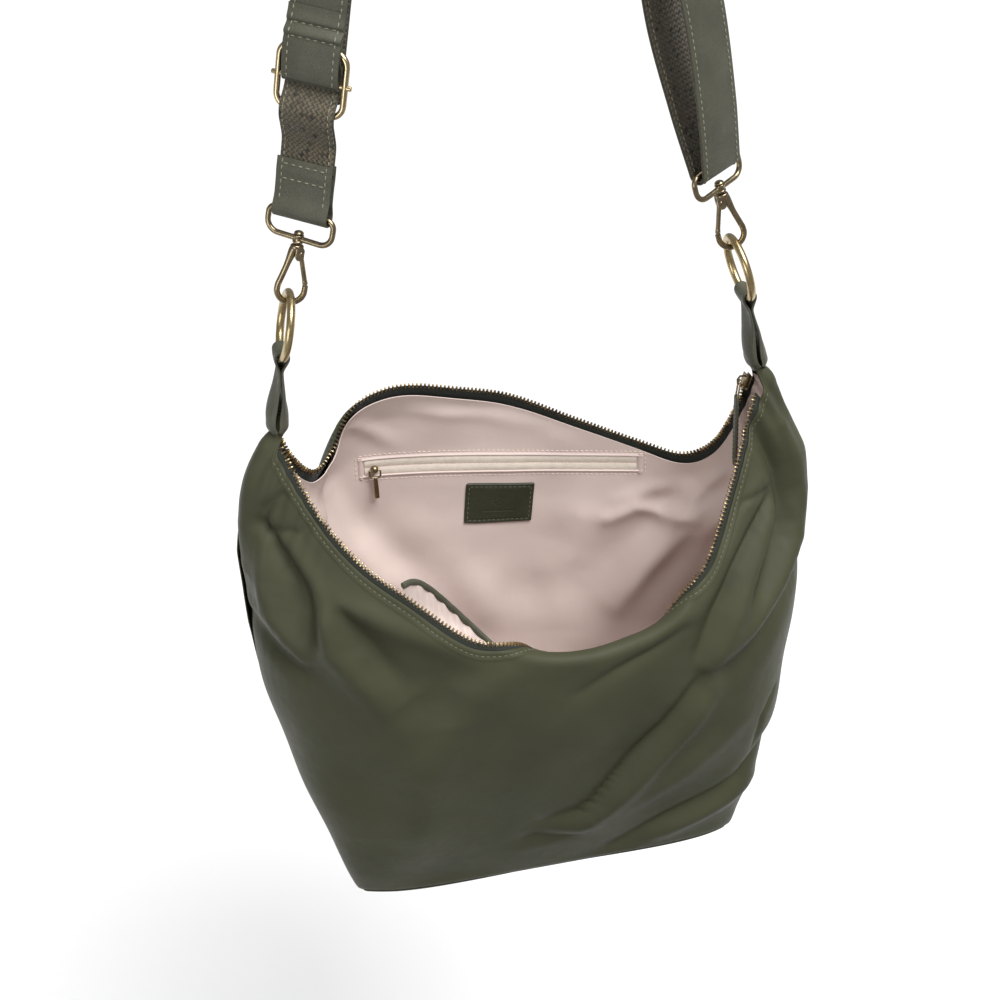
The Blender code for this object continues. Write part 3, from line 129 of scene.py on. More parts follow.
# Folds in the cloth: ((x, z) points in millimetres), height in millimetres (+ is outwards),
# (half width at start, at end) in millimetres, sharpness. Several points, and those of SLIP_TOP and
# SLIP_GAPE, were first measured in the photo with rays cast from its fitted camera.
FOLDS = {
    FRONT: [
        # left end
        (((-159, -500), (-170, -510), (-178, -526), (-183, -551), (-184, -572)), -4.5, (3, 6), 1.6),
        (((-172, -521), (-166, -534), (-158, -552), (-156, -570), (-159, -594)), -9, (4, 11), 1.7),
        (((-172, -522), (-152, -521), (-142, -514)), -2.2, (2.5, 3), 1.5),
        (((-178, -530), (-181, -556), (-177, -576), (-168, -591), (-160, -600)), 7, (7, 10), 2.0),
        (((-188, -592), (-178, -605), (-164, -615), (-150, -606)), -5, (6, 8), 2.0),
        (((-160, -530), (-148, -552), (-144, -580), (-148, -598)), 4, (7, 9), 2.0),
        (((-150, -578), (-134, -558), (-119, -564), (-100, -575), (-80, -585), (-58, -598)),
         4.5, (8, 9), 2.0),
        (((-134, -566), (-127, -576), (-119, -590), (-112, -606), (-100, -628)), -7, (6, 15), 1.8),
        (((-146, -572), (-142, -592), (-126, -614), (-106, -645)), 5, (9, 18), 2.0),
        (((-98, -604), (-80, -618), (-76, -650)), -6, (18, 24), 2.0),
        (((-40, -614), (-60, -630), (-74, -655), (-90, -690), (-97, -730), (-104, -775)), 6, (14, 22), 2.0),
        (((-150, -640), (-138, -700), (-126, -760)), -5, (26, 26), 2.0),
        # right end
        (((166, -482), (176, -500), (181, -516)), -4, (4, 7), 1.8),
        (((150, -500), (158, -514), (167, -532), (171, -550), (168, -567), (158, -583), (146, -599)),
         -10, (4, 12), 1.7),
        (((172, -505), (180, -530), (184, -556), (178, -582), (160, -606), (134, -628), (104, -645)),
         6, (7, 11), 2.0),
        (((183, -602), (158, -624), (132, -646), (106, -662)), -6, (9, 14), 2.0),
        (((135, -541), (157, -540)), -2.4, (2, 2.5), 1.5),
        (((157, -545), (143, -560), (125, -579), (109, -604), (98, -628), (94, -644)), -7, (4, 8), 1.6),
        (((150, -534), (133, -552), (112, -578), (94, -597), (62, -607)), 4, (7, 10), 2.0),
        (((161, -556), (150, -576), (132, -600), (115, -624), (103, -640)), 5, (6, 9), 2.0),
        (((84, -607), (61, -617), (37, -626), (10, -639)), -3.5, (4, 6), 1.5),
        # lower right
        (((100, -650), (88, -666), (73, -688), (56, -710), (41, -732), (26, -755), (6, -769), (-18, -785)),
         -8, (7, 6), 1.4),
        (((64, -676), (44, -702), (22, -730)), -4, (16, 20), 2.0),
        (((108, -664), (92, -690), (70, -717), (48, -748), (22, -774), (-8, -792)), 6, (9, 10), 2.0),
        (((160, -742), (136, -768), (109, -783), (79, -798), (46, -816)), -8, (7, 8), 1.4),
        (((132, -742), (100, -764), (64, -784)), -3, (14, 14), 2.0),
        (((132, -700), (113, -716), (90, -736), (66, -757), (36, -780)), 4, (12, 12), 2.0),
        (((150, -780), (112, -797), (78, -811)), 4, (8, 8), 2.0),
        (((164, -694), (151, -711), (146, -738)), -2.5, (2.5, 3), 1.4),
    ],
    BACK: [
        (((-168, -500), (-176, -530), (-170, -570), (-150, -610)), -8, (5, 13), 1.7),
        (((-178, -510), (-184, -550), (-176, -600), (-150, -640)), 6, (8, 14), 2.0),
        (((-150, -540), (-130, -580), (-104, -630), (-90, -690)), -6, (7, 20), 1.8),
        (((-120, -540), (-92, -600), (-60, -680)), 4, (14, 24), 2.0),
        (((166, -500), (174, -536), (166, -576), (140, -612)), -9, (5, 13), 1.7),
        (((178, -516), (183, -556), (170, -600), (134, -640)), 6, (8, 13), 2.0),
        (((148, -560), (122, -600), (92, -640), (62, -700)), -7, (6, 18), 1.7),
        (((128, -568), (96, -612), (50, -650)), 4, (10, 18), 2.0),
        (((-110, -700), (-60, -750), (10, -790)), -6, (12, 8), 1.6),
        (((120, -690), (80, -740), (20, -775), (-40, -800)), -5, (14, 8), 1.6),
        (((30, -620), (0, -680), (-30, -760)), 5, (24, 28), 2.0),
    ],
}
# Folds of the lining, with heights inwards.
LINING_FOLDS = {
    FRONT: [
        (((-60, -640), (-20, -700), (20, -760)), 4, (18, 22), 2.0),
        (((90, -640), (60, -700), (50, -760)), 4, (16, 20), 2.0),
    ],
    BACK: [
        (((72, -600), (92, -592), (110, -598), (132, -596), (150, -582)), 6, (6, 8), 1.8),
        (((80, -585), (104, -578), (128, -576)), 3, (7, 8), 2.0),
        (((136, -600), (120, -620), (100, -642), (76, -668)), 7, (8, 12), 1.9),
        (((150, -600), (134, -640), (110, -680)), 5, (9, 12), 1.9),
        (((52, -600), (34, -640), (30, -690)), 5, (12, 18), 2.0),
        (((-40, -620), (-20, -660), (10, -700)), 5, (14, 22), 2.0),
        (((-150, -530), (-146, -570), (-132, -610)), 5, (7, 12), 1.9),
        (((-128, -545), (-118, -580), (-96, -620), (-60, -650)), 5, (8, 14), 1.9),
        (((-104, -600), (-84, -640), (-60, -700)), 4, (12, 20), 2.0),
        (((-60, -492), (-20, -500), (30, -512)), 2.5, (8, 8), 2.0),
        (((-108, -492), (-92, -506), (-80, -520)), 2.5, (6, 7), 2.0),
    ],
}

# Interior pockets and patch, as their solids have them (millimetres).
POCKET_LEFT, POCKET_RIGHT = (-100, -535), (92, -555)
PATCH_CENTRE, PATCH_TILT, PATCH_SIZE = (-6.5, -577), math.radians(-7), (49, 31)
PATCH_CORNER, PATCH_SEAM = 1.8, 2.4   # corner radius, and the stitches' distance from the edge
POCKET_TAPE_SPAN = (0.45 * MM, 6.2 * MM)   # distances from the zip's line
POCKET_WELT_SPAN = (5.9 * MM, 8.6 * MM)
POCKET_STITCH_LINE, POCKET_END_STITCHES = 9.8 * MM, 9.6
POCKET_ENDS = (-0.022, 1.022)    # the welts' ends, as shares of the zip's length
POCKET_END_HALF = 0.010          # half width of the strips that close the ends, as such a share
TAPE_CROWN = 0.45 * MM           # how far the pocket's tapes bulge in their middle
SLIP_TOP = [(-97.5, -549), (-93, -547.5), (-87, -549), (-78, -558), (-68, -571.5), (-53, -592), (-38, -611),
            (-10, -630), (40, -641), (70, -634)]
SLIP_BASE = -735
SLIP_GAPE = [(0, 0), (0.027, 8), (0.063, 14), (0.116, 21), (0.176, 26), (0.266, 27), (0.355, 24), (0.52, 16),
             (0.82, 8), (1, 0)]

# Strap and the chains of hardware, as their solids have them.
STRAP_WIDTH = 35 * MM
STRAP_SPREAD = 127.5 * MM
STRAP_BAR_Z = -324.5 * MM
STRAP_LEAN = math.radians(11)
STRAP_STRAIGHT = 172 * MM
STRAP_TWIST = math.radians(32)
BAND_STEP = 3 * MM
FOLD_RADIUS = 5.0 * MM
WEBBING = (-1.25 * MM, 0.05 * MM)
LEATHER = (0.1 * MM, 1.25 * MM)
TAB_LENGTH = 32 * MM
TAB_LEATHER = 1.2 * MM
ADJUSTER_S = 80.5 * MM
ADJUSTER_N = 4.5 * MM
ADJUSTER_HALF_WIDTH = 21 * MM
ADJUSTER_HALF_HEIGHT = 18.5 * MM
ADJUSTER_WIRE = 1.9 * MM
ADJUSTER_CORNER = 8 * MM
ADJUSTER_PIN, ADJUSTER_PIN_HALF = 1.5, 25   # radius and half length, in millimetres
LOOP_END_LENGTH = 41 * MM
STRETCH_END = 170 * MM
OUTER_LAYER = 3.4 * MM
CHAIN_LEAN = math.radians(14)
LOOP_HALF_WIDTH = 21.2 * MM
LOOP_HEIGHT = 16 * MM
LOOP_WIRE = 1.8 * MM
LOOP_CORNERS = (5 * MM, 7.5 * MM)   # radii of the upper and the lower corners
HOOK_WIRE = 1.9 * MM
HOOK_DROP = 41 * MM
HOOK_RADIUS = 8.4 * MM
RING_RADIUS = 20.4 * MM
RING_WIRE = 2.6 * MM
RING_SEAT = 5.0 * MM
STITCH_PITCH = 4.2 * MM
THREAD_PROUD = 0.05 * MM         # how far a stitch's middle line stands off the face it is sewn to
RIM_STITCHES = {"pitch": 3.7 * MM, "length": 2.3 * MM, "radius": 0.3 * MM}
SLIP_STITCHES = {"pitch": 3.4 * MM, "length": 2.2 * MM, "radius": 0.3 * MM}
PULLER_STITCHES = {"pitch": 3.2 * MM, "length": 2 * MM, "radius": 0.25 * MM}
LINING_STITCHES = {"length": 2.0 * MM, "radius": 0.3 * MM}
RIVET_X, RIVET_DROP = 2.6 * MM, 8.6 * MM
NOSE_DROP = 29.5 * MM
GATE_WIRE = 1.5 * MM
LEAF = [(-0.1, 0, -7.5), (0.0, 0, -10.8), (1.2, 0, -14)]   # millimetres
LEAF_HALF_WIDTH, LEAF_HALF = 1.2 * MM, 0.15 * MM
TIP = (158 * MM, -462 * MM)
END_TAB_SKIN = 0.8 * MM          # half the leather's thickness
END_TAB_EYE = 1.5 * MM           # gap between the ring's wire and the middle of the leather round it
END_TAB_OVERLAP = 6 * MM         # reach over the bag's tip
END_TAB_HALF, END_TAB_WAIST, END_TAB_SPREAD = 9.0 * MM, 0.9 * MM, 3.0 * MM   # half width, and its changes
END_TAB_PINCH, END_TAB_BULGE = 0.85 * MM, 5.6 * MM   # half gap under the ring, and over the bag's tip
LINK_DROP = 13.6 * MM
LINK_LEAN = math.radians(8)
BALL_RADIUS = 2.9 * MM           # pocket slider
PULL_PIN = (0, -1.3, -0.6)       # its puller's pin from its middle, in millimetres
PULL_LOOP_WIRE, LINK_WIRE = 0.55 * MM, 0.62 * MM
PULL_SLIDER = (151.5, 0, -476)   # the main slider's middle, in millimetres
PULL_SLOPE = math.atan2(8, 24)   # the zip's slope there

# The view, as fitted to the photo, and the studio.
CAMERA_AZIMUTH, CAMERA_ELEVATION, CAMERA_ROLL = math.radians(-10.6), math.radians(30), math.radians(-3)
CAMERA_TARGET, CAMERA_DISTANCE = (-0.0176, 0, -0.539), 1.15
LENS, SENSOR = 62.4, 36          # millimetres
FLOOR_Z, FLOOR_RADIUS, FLOOR_STEPS = -1.35, 9.0, 48
FLOOR_BEHIND, FLOOR_IN_FRONT = (0.79, 0.79, 0.79), (0.235, 0.235, 0.235)
FLOOR_FADE = (2.0, 0.7)          # share behind = y times the first plus the second
SUN_POWER, SUN_SPREAD, SUN_DIRECTION = 3.9, math.radians(35), (-0.45, 0.75, -1.3)
LAMPS = [("key", (-1.2, -1.2, -0.35), (0, 0, -0.65), (0.8, 0.8), 8),   # name, place, aim, size, watts
         ("top", (0.5, 0.1, 1.2), (0, 0, -0.6), (1.0, 0.8), 9)]
SKY_STRENGTH = 0.32


# ---------------------------------------------------------------- materials

def node(tree, kind, inputs=None, **settings):
    """Add a node; inputs maps socket names or numbers to values or to other nodes' sockets."""
    made = tree.nodes.new("ShaderNode" + kind)
    for key, value in settings.items():
        setattr(made, key, value)
    for key, value in (inputs or {}).items():
        if isinstance(value, bpy.types.NodeSocket):
            tree.links.new(value, made.inputs[key])
        else:
            made.inputs[key].default_value = value
    return made


def maths(tree, operation, a, b=0.0, c=0.0):
    return node(tree, "Math", {0: a, 1: b, 2: c}, operation=operation).outputs[0]


def ramp(tree, value, stops):
    """Colour ramp through (place, colour) stops."""
    made = node(tree, "ValToRGB", {"Fac": value})
    band = made.color_ramp
    while len(band.elements) < len(stops):
        band.elements.new(0.5)
    for element, (place, colour) in zip(band.elements, stops):
        element.position = place
        element.color = (*colour, 1)
    return made.outputs["Color"]


def finish(name, colour, roughness, metallic=0.0, sheen=0.0):
    """New material; returns it with its tree and shader."""
    mat = bpy.data.materials.new(name)
    mat.use_nodes = True
    shader = mat.node_tree.nodes["Principled BSDF"]
    shader.inputs["Base Color"].default_value = (*colour, 1)
    shader.inputs["Roughness"].default_value = roughness
    shader.inputs["Metallic"].default_value = metallic
    shader.inputs["Sheen Weight"].default_value = sheen
    shader.inputs["Sheen Roughness"].default_value = 0.4
    mat.diffuse_color = (*colour, 1)
    return mat, mat.node_tree, shader


def coordinates(tree, output="Object"):
    return node(tree, "TexCoord").outputs[output]


def noise(tree, scale, detail=2.0, output="Fac"):
    inputs = {"Vector": coordinates(tree), "Scale": scale, "Detail": detail}
    return node(tree, "TexNoise", inputs).outputs[output]


def bump(tree, shader, layers):
    """Chain of bumps from (height socket, strength, distance) layers."""
    normal = None
    for height, strength, distance in layers:
        inputs = {"Height": height, "Strength": strength, "Distance": distance}
        if normal:
            inputs["Normal"] = normal
        normal = node(tree, "Bump", inputs).outputs["Normal"]
    tree.links.new(normal, shader.inputs["Normal"])


def mixed(colour, share, other):
    return tuple(a + (b - a) * share for a, b in zip(colour, other))


def scaled(colour, factor):
    return tuple(c * factor for c in colour)


def woven(name, colour, roughness, yarn, gloss, contrast, depth, crinkle=0.0):
    """Plain-woven cloth: yarns of the given pitch along the object's axes, and soft tone changes."""
    mat, tree, shader = finish(name, colour, roughness)
    shader.inputs["Specular IOR Level"].default_value = gloss
    place = node(tree, "SeparateXYZ", {0: coordinates(tree)})
    across = maths(tree, "SINE", maths(tree, "MULTIPLY", place.outputs[0], 2 * math.pi / yarn))
    down = maths(tree, "SINE", maths(tree, "MULTIPLY", place.outputs[2], 2 * math.pi / yarn))
    weave = maths(tree, "MULTIPLY", across, down)
    tone = noise(tree, 22, 4)
    tint = ramp(tree, tone, [(0.3, scaled(colour, 1 - contrast)), (0.7, scaled(colour, 1 + contrast))])
    tree.links.new(tint, shader.inputs["Base Color"])
    rough = maths(tree, "MULTIPLY_ADD", noise(tree, 160, 3), 0.16, roughness - 0.08)
    tree.links.new(rough, shader.inputs["Roughness"])
    layers = [(weave, 0.35, depth), (noise(tree, 1400, 2), 0.25, depth)]
    if crinkle:
        layers.append((noise(tree, 75, 3), 0.5, crinkle))
    bump(tree, shader, layers)
    return mat


def leather(name, colour, roughness=0.5, grain=1150):
    """Fine pebble grain, with painted shade darkening its creases, and a dull shine."""
    mat, tree, shader = finish(name, colour, roughness)
    shader.inputs["Specular IOR Level"].default_value = 0.4
    warp = noise(tree, 260, 2, output="Color")
    mixer = node(tree, "Mix", {0: 0.004, 6: coordinates(tree), 7: warp}, data_type='RGBA')
    cells = node(tree, "TexVoronoi", {"Vector": mixer.outputs[2], "Scale": grain, "Randomness": 0.9},
                 feature='DISTANCE_TO_EDGE')
    creases = ramp(tree, cells.outputs["Distance"], [(0.0, (0, 0, 0)), (0.16, (1, 1, 1))])
    tone = ramp(tree, noise(tree, 60, 4), [(0.3, scaled(colour, 0.82)), (0.7, scaled(colour, 1.16))])
    # painted shade: the creases that the bump sinks are darkened
    darker = node(tree, "Mix", {0: creases, 6: (*scaled(colour, 0.62), 1), 7: tone}, data_type='RGBA')
    tree.links.new(darker.outputs[2], shader.inputs["Base Color"])
    rough = maths(tree, "MULTIPLY_ADD", noise(tree, 300, 2), 0.2, roughness - 0.1)
    tree.links.new(rough, shader.inputs["Roughness"])
    bump(tree, shader, [(creases, 0.45, 0.00012), (noise(tree, 420, 3), 0.4, 0.0002)])
    return mat


def basket_webbing(name, green, brown, dark, yarn=2.3 * MM):
    """Coarse strap webbing: yarns cross on the diagonal; greens and browns, with painted shade in the gaps
    between yarns.
    """
    mat, tree, shader = finish(name, green, 0.85, sheen=0.3)
    place = node(tree, "SeparateXYZ", {0: coordinates(tree, "UV")})
    u, v = place.outputs[0], place.outputs[1]
    wobble = maths(tree, "MULTIPLY_ADD", noise(tree, 300, 2), 1.6 * MM, -0.8 * MM)
    a = maths(tree, "DIVIDE", maths(tree, "ADD", maths(tree, "ADD", u, v), wobble), yarn * 1.41)
    b = maths(tree, "DIVIDE", maths(tree, "SUBTRACT", maths(tree, "SUBTRACT", u, v), wobble), yarn * 1.41)
    cell_sum = maths(tree, "ADD", maths(tree, "FLOOR", a), maths(tree, "FLOOR", b))
    parity = maths(tree, "PINGPONG", cell_sum, 1.0)
    ridge_a = maths(tree, "ABSOLUTE", maths(tree, "SINE", maths(tree, "MULTIPLY", a, math.pi)))
    ridge_b = maths(tree, "ABSOLUTE", maths(tree, "SINE", maths(tree, "MULTIPLY", b, math.pi)))
    height = node(tree, "Mix", {0: parity, 2: ridge_a, 3: ridge_b}).outputs[0]
    cell = node(tree, "CombineXYZ", {0: maths(tree, "FLOOR", a), 1: maths(tree, "FLOOR", b)}).outputs[0]
    pick = node(tree, "TexWhiteNoise", {"Vector": cell}, noise_dimensions='2D').outputs["Value"]
    yarns = ramp(tree, pick, [(0.0, dark), (0.16, brown), (0.55, mixed(green, 0.5, brown)), (0.9, green)])
    # painted shade: the weave's low parts, between the yarns, are darkened towards the dark colour
    shaded = node(tree, "Mix", {0: maths(tree, "POWER", height, 0.7), 6: (*dark, 1), 7: yarns},
                  data_type='RGBA')
    tree.links.new(shaded.outputs[2], shader.inputs["Base Color"])
    bump(tree, shader, [(height, 0.9, 0.0006), (noise(tree, 2600, 2), 0.5, 0.00015)])
    return mat


def metal(name, colour, wear_and_highlight, roughness):
    """Plated brass: the lighter tone shows in irregular patches, partly wear from handling and partly painted
    highlight.
    """
    mat, tree, shader = finish(name, colour, roughness, metallic=1.0)
    patches = noise(tree, 170, 5)
    # painted highlight in part: the lighter patches stand for gold glints as well as wear
    tint = ramp(tree, patches, [(0.35, colour), (0.68, wear_and_highlight)])
    tree.links.new(tint, shader.inputs["Base Color"])
    rough = maths(tree, "MULTIPLY_ADD", noise(tree, 420, 4), 0.24, roughness - 0.12)
    tree.links.new(rough, shader.inputs["Roughness"])
    bump(tree, shader, [(noise(tree, 1800, 3), 0.12, 0.0001)])
    return mat


def ribbed_tape(name, colour, rib=0.7 * MM):
    mat, tree, shader = finish(name, colour, 0.8, sheen=0.2)
    place = node(tree, "SeparateXYZ", {0: coordinates(tree, "UV")})
    ribs = maths(tree, "SINE", maths(tree, "MULTIPLY", place.outputs[0], 2 * math.pi / rib))
    rows = maths(tree, "SINE", maths(tree, "MULTIPLY", place.outputs[1], 2 * math.pi / rib))
    weave = maths(tree, "MULTIPLY", ribs, rows)
    tint = ramp(tree, noise(tree, 240, 3), [(0.3, scaled(colour, 0.94)), (0.7, scaled(colour, 1.06))])
    tree.links.new(tint, shader.inputs["Base Color"])
    bump(tree, shader, [(weave, 0.5, 0.00015)])
    return mat


def spun_thread(name, colour):
    mat, tree, shader = finish(name, colour, 0.7, sheen=0.3)
    tint = ramp(tree, noise(tree, 700, 2), [(0.3, scaled(colour, 0.8)), (0.7, scaled(colour, 1.2))])
    tree.links.new(tint, shader.inputs["Base Color"])
    bump(tree, shader, [(noise(tree, 3500, 2), 0.6, 0.0001)])
    return mat


def studio_floor():
    """White behind the bag, fading to the grey of the room in front of it."""
    mat, tree, shader = finish("studio_floor", FLOOR_BEHIND, 1.0)
    shader.inputs["Specular IOR Level"].default_value = 0.0
    place = node(tree, "SeparateXYZ", {0: coordinates(tree)})
    share = maths(tree, "MULTIPLY_ADD", place.outputs[1], *FLOOR_FADE)
    tint = ramp(tree, share, [(0.0, FLOOR_IN_FRONT), (1.0, FLOOR_BEHIND)])
    tree.links.new(tint, shader.inputs["Base Color"])
    return mat


NYLON_CLOTH = woven("nylon_cloth", (0.056, 0.0575, 0.0335), 0.42, 0.45 * MM, 0.10, 0.10, 0.00006, 0.0008)
LINING_CLOTH = woven("lining_cloth", (0.64, 0.53, 0.485), 0.45, 0.5 * MM, 0.3, 0.02, 0.00005, 0.0005)
LEATHER_SKIN = leather("leather_skin", (0.086, 0.086, 0.060))
PATCH_SKIN = leather("patch_skin", (0.034, 0.038, 0.021), 0.42)
WEBBING_CLOTH = basket_webbing("webbing_cloth", (0.105, 0.096, 0.062), (0.145, 0.118, 0.078),
                               (0.025, 0.020, 0.014))
ZIP_TAPE_CLOTH = ribbed_tape("zip_tape_cloth", (0.014, 0.018, 0.012))
CREAM_TAPE_CLOTH = ribbed_tape("cream_tape_cloth", (0.74, 0.66, 0.57))
OLIVE_THREAD = spun_thread("olive_thread", (0.13, 0.13, 0.085))
PALE_THREAD = spun_thread("pale_thread", (0.24, 0.23, 0.16))
BLUSH_THREAD = spun_thread("blush_thread", (0.74, 0.60, 0.52))
# Each metal's second colour is its lighter tone, partly wear and partly painted highlight.
TOOTH_METAL = metal("tooth_metal", (0.16, 0.12, 0.07), (0.55, 0.42, 0.22), 0.36)
ANTIQUE_METAL = metal("antique_metal", (0.22, 0.175, 0.115), (0.34, 0.27, 0.16), 0.30)
ADJUSTER_METAL = metal("adjuster_metal", (0.45, 0.36, 0.21), (0.56, 0.46, 0.29), 0.26)
RING_METAL = metal("ring_metal", (0.42, 0.325, 0.165), (0.55, 0.44, 0.25), 0.30)


# ---------------------------------------------------------------- mesh helpers

def unit(vectors):
    return vectors / np.maximum(np.linalg.norm(vectors, axis=-1, keepdims=True), 1e-12)


def add_piece(name, points, faces, skin, body, uv=None):
    """Mesh object from points, faces and, for cloth, (u, v) for each point. Pieces given no body are left
    unattached.
    """
    mesh = bpy.data.meshes.new(name)
    mesh.from_pydata(np.asarray(points).reshape(-1, 3).tolist(), [], [list(map(int, f)) for f in faces])
    if uv is not None:
        corners = np.empty(len(mesh.loops), dtype=int)
        mesh.loops.foreach_get("vertex_index", corners)
        layer = mesh.uv_layers.new(name="UVMap")
        layer.data.foreach_set("uv", np.asarray(uv).reshape(-1, 2)[corners].ravel())
    mesh.materials.append(skin)
    mesh.shade_smooth()
    mesh.set_sharp_from_angle(angle=SHARP_ANGLE)
    obj = bpy.data.objects.new(name, mesh)
    bpy.context.collection.objects.link(obj)
    if body:
        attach(obj, body)
    return obj


def grid_faces(columns, rows, start=0, flip=False, wrap=False):
    """Quads of a grid whose points run row by row within each column."""
    i, j = np.meshgrid(np.arange(columns if wrap else columns - 1), np.arange(rows - 1), indexing="ij")
    right = (i + 1) % columns
    quads = np.stack([i * rows + j, right * rows + j, right * rows + j + 1, i * rows + j + 1], -1)
    quads = quads.reshape(-1, 4) + start
    return quads[:, ::-1] if flip else quads


def closed_sheet(outer, inner):
    """Points and faces of a closed sheet between two grids; outer's normals face outwards."""
    columns, rows = outer.shape[:2]
    count = columns * rows
    faces = [grid_faces(columns, rows), grid_faces(columns, rows, count, flip=True)]
    rim = [(i, 0) for i in range(columns)] + [(columns - 1, j) for j in range(1, rows)]
    rim += [(i, rows - 1) for i in range(columns - 2, -1, -1)] + [(0, j) for j in range(rows - 2, 0, -1)]
    edge = np.array([i * rows + j for i, j in rim])
    after = np.roll(edge, -1)
    faces.append(np.stack([after, edge, edge + count, after + count], -1))
    return np.concatenate([outer.reshape(-1, 3), inner.reshape(-1, 3)]), np.concatenate(faces)


def sweep(centres, across, up, outline, closed=False, scale=1.0):
    """Tube of a closed outline of (across, up) offsets along frames; ends get flat caps."""
    outline = np.asarray(outline)[None] * np.reshape(scale, (-1, 1, 1))
    rings = centres[:, None] + across[:, None] * outline[..., 0:1] + up[:, None] * outline[..., 1:2]
    count, sides = rings.shape[:2]
    faces = []
    for k in range(count if closed else count - 1):
        m = (k + 1) % count
        for a in range(sides):
            b = (a + 1) % sides
            faces.append((k * sides + a, k * sides + b, m * sides + b, m * sides + a))
    if not closed:
        faces.append(tuple(range(sides - 1, -1, -1)))
        faces.append(tuple((count - 1) * sides + a for a in range(sides)))
    return rings.reshape(-1, 3), faces


def path_lengths(points):
    steps = np.linalg.norm(np.diff(points, axis=0), axis=1)
    return np.concatenate([[0], np.cumsum(steps)])


def resample(points, count):
    lengths = path_lengths(points)
    goals = np.linspace(0, lengths[-1], count)
    return np.stack([np.interp(goals, lengths, points[:, k]) for k in range(points.shape[1])], -1)


def smooth_path(points, count):
    """Evenly spaced points along a Catmull-Rom curve."""
    pts = np.asarray(points, float)
    pts = np.concatenate([[2 * pts[0] - pts[1]], pts, [2 * pts[-1] - pts[-2]]])
    t = (np.arange(16) / 16)[:, None]
    dense = [0.5 * (2 * b + (c - a) * t + (2 * a - 5 * b + 4 * c - d) * t * t
                    + (3 * b - a - 3 * c + d) * t ** 3)
             for a, b, c, d in zip(pts, pts[1:], pts[2:], pts[3:])]
    return resample(np.concatenate(dense + [pts[-2:-1]]), count)


def curve(rows):
    """Smooth function of x through (x, value) rows."""
    xs, ys = np.array(sorted(rows), float).T
    slopes = np.empty_like(ys)
    slopes[1:-1] = (ys[2:] - ys[:-2]) / (xs[2:] - xs[:-2])
    slopes[0] = (ys[1] - ys[0]) / (xs[1] - xs[0])
    slopes[-1] = (ys[-1] - ys[-2]) / (xs[-1] - xs[-2])

    def value(x):
        x = np.clip(x, xs[0], xs[-1])
        k = np.clip(np.searchsorted(xs, x, side="right") - 1, 0, len(xs) - 2)
        h = xs[k + 1] - xs[k]
        t = (x - xs[k]) / h
        return ((2 * t ** 3 - 3 * t * t + 1) * ys[k] + (t ** 3 - 2 * t * t + t) * h * slopes[k]
                + (3 * t * t - 2 * t ** 3) * ys[k + 1] + (t ** 3 - t * t) * h * slopes[k + 1])
    return value


def smoothstep(x, low, high):
    t = np.clip((x - low) / (high - low), 0, 1)
    return t * t * (3 - 2 * t)


def rounded_outline(half_width, low, high, steps=4):
    """Outline of a strip with round edges."""
    radius = (high - low) / 2
    middle = (low + high) / 2
    angles = np.linspace(-math.pi / 2, math.pi / 2, steps + 1)
    right = [(half_width - radius + radius * math.cos(a), middle + radius * math.sin(a)) for a in angles]
    left = [(-x, 2 * middle - y) for x, y in right]
    return right + left


def circle_outline(radius, sides=16):
    angles = 2 * math.pi * np.arange(sides) / sides
    return np.stack([radius * np.cos(angles), radius * np.sin(angles)], -1)


CAPSULE_ROWS = [(-1.0, 0.0), (-0.9, 0.62), (-0.6, 1.0), (0.6, 1.0), (0.9, 0.62), (1.0, 0.0)]


def stitch_template(sides=6):
    """Small arched capsule along X, one unit long each way and one unit thick."""
    points = [(-1.0, 0.0, -0.5)]
    for x, r in CAPSULE_ROWS[1:-1]:
        for a in range(sides):
            angle = 2 * math.pi * a / sides
            points.append((x, r * math.cos(angle), r * math.sin(angle) + 0.5 * (1 - x * x) - 0.25))
    points.append((1.0, 0.0, -0.5))
    faces = [(0, 1 + (a + 1) % sides, 1 + a) for a in range(sides)]
    rows = len(CAPSULE_ROWS) - 2
    for k in range(rows - 1):
        for a in range(sides):
            b = (a + 1) % sides
            low, high = 1 + k * sides, 1 + (k + 1) * sides
            faces.append((low + a, low + b, high + b, high + a))
    last = len(points) - 1
    faces += [(last, 1 + (rows - 1) * sides + a, 1 + (rows - 1) * sides + (a + 1) % sides)
              for a in range(sides)]
    return np.array(points), faces


def scatter(name, template, origins, xs, ys, zs, skin, body):
    """One mesh of copies of a template, each placed by an origin and three scaled axes."""
    points, faces = template
    placed = (origins[:, None] + points[None, :, 0:1] * xs[:, None] + points[None, :, 1:2] * ys[:, None]
              + points[None, :, 2:3] * zs[:, None])
    count = len(points)
    all_faces = [tuple(i + k * count for i in face) for k in range(len(origins)) for face in faces]
    return add_piece(name, placed, all_faces, skin, body)


def stitch_row(name, points, normals, skin, body, slot, pitch=STITCH_PITCH, length=2.6 * MM,
               radius=0.38 * MM):
    """Thread stitches along a path that lies on a surface."""
    lengths = path_lengths(points)
    count = max(int(lengths[-1] / pitch), 1)
    goals = (np.arange(count) + 0.5) * lengths[-1] / count
    at = np.stack([np.interp(goals, lengths, points[:, k]) for k in range(3)], -1)
    ahead = np.stack([np.interp(goals + 0.4 * MM, lengths, points[:, k]) for k in range(3)], -1)
    behind = np.stack([np.interp(goals - 0.4 * MM, lengths, points[:, k]) for k in range(3)], -1)
    along = unit(ahead - behind)
    normal = np.stack([np.interp(goals, lengths, normals[:, k]) for k in range(3)], -1)
    normal = unit(normal - along * (normal * along).sum(-1, keepdims=True))
    side = np.cross(normal, along)
    return scatter(name, stitch_template(), at, along * length / 2, side * radius, normal * radius,
                   skin, body)


# ---------------------------------------------------------------- bag walls

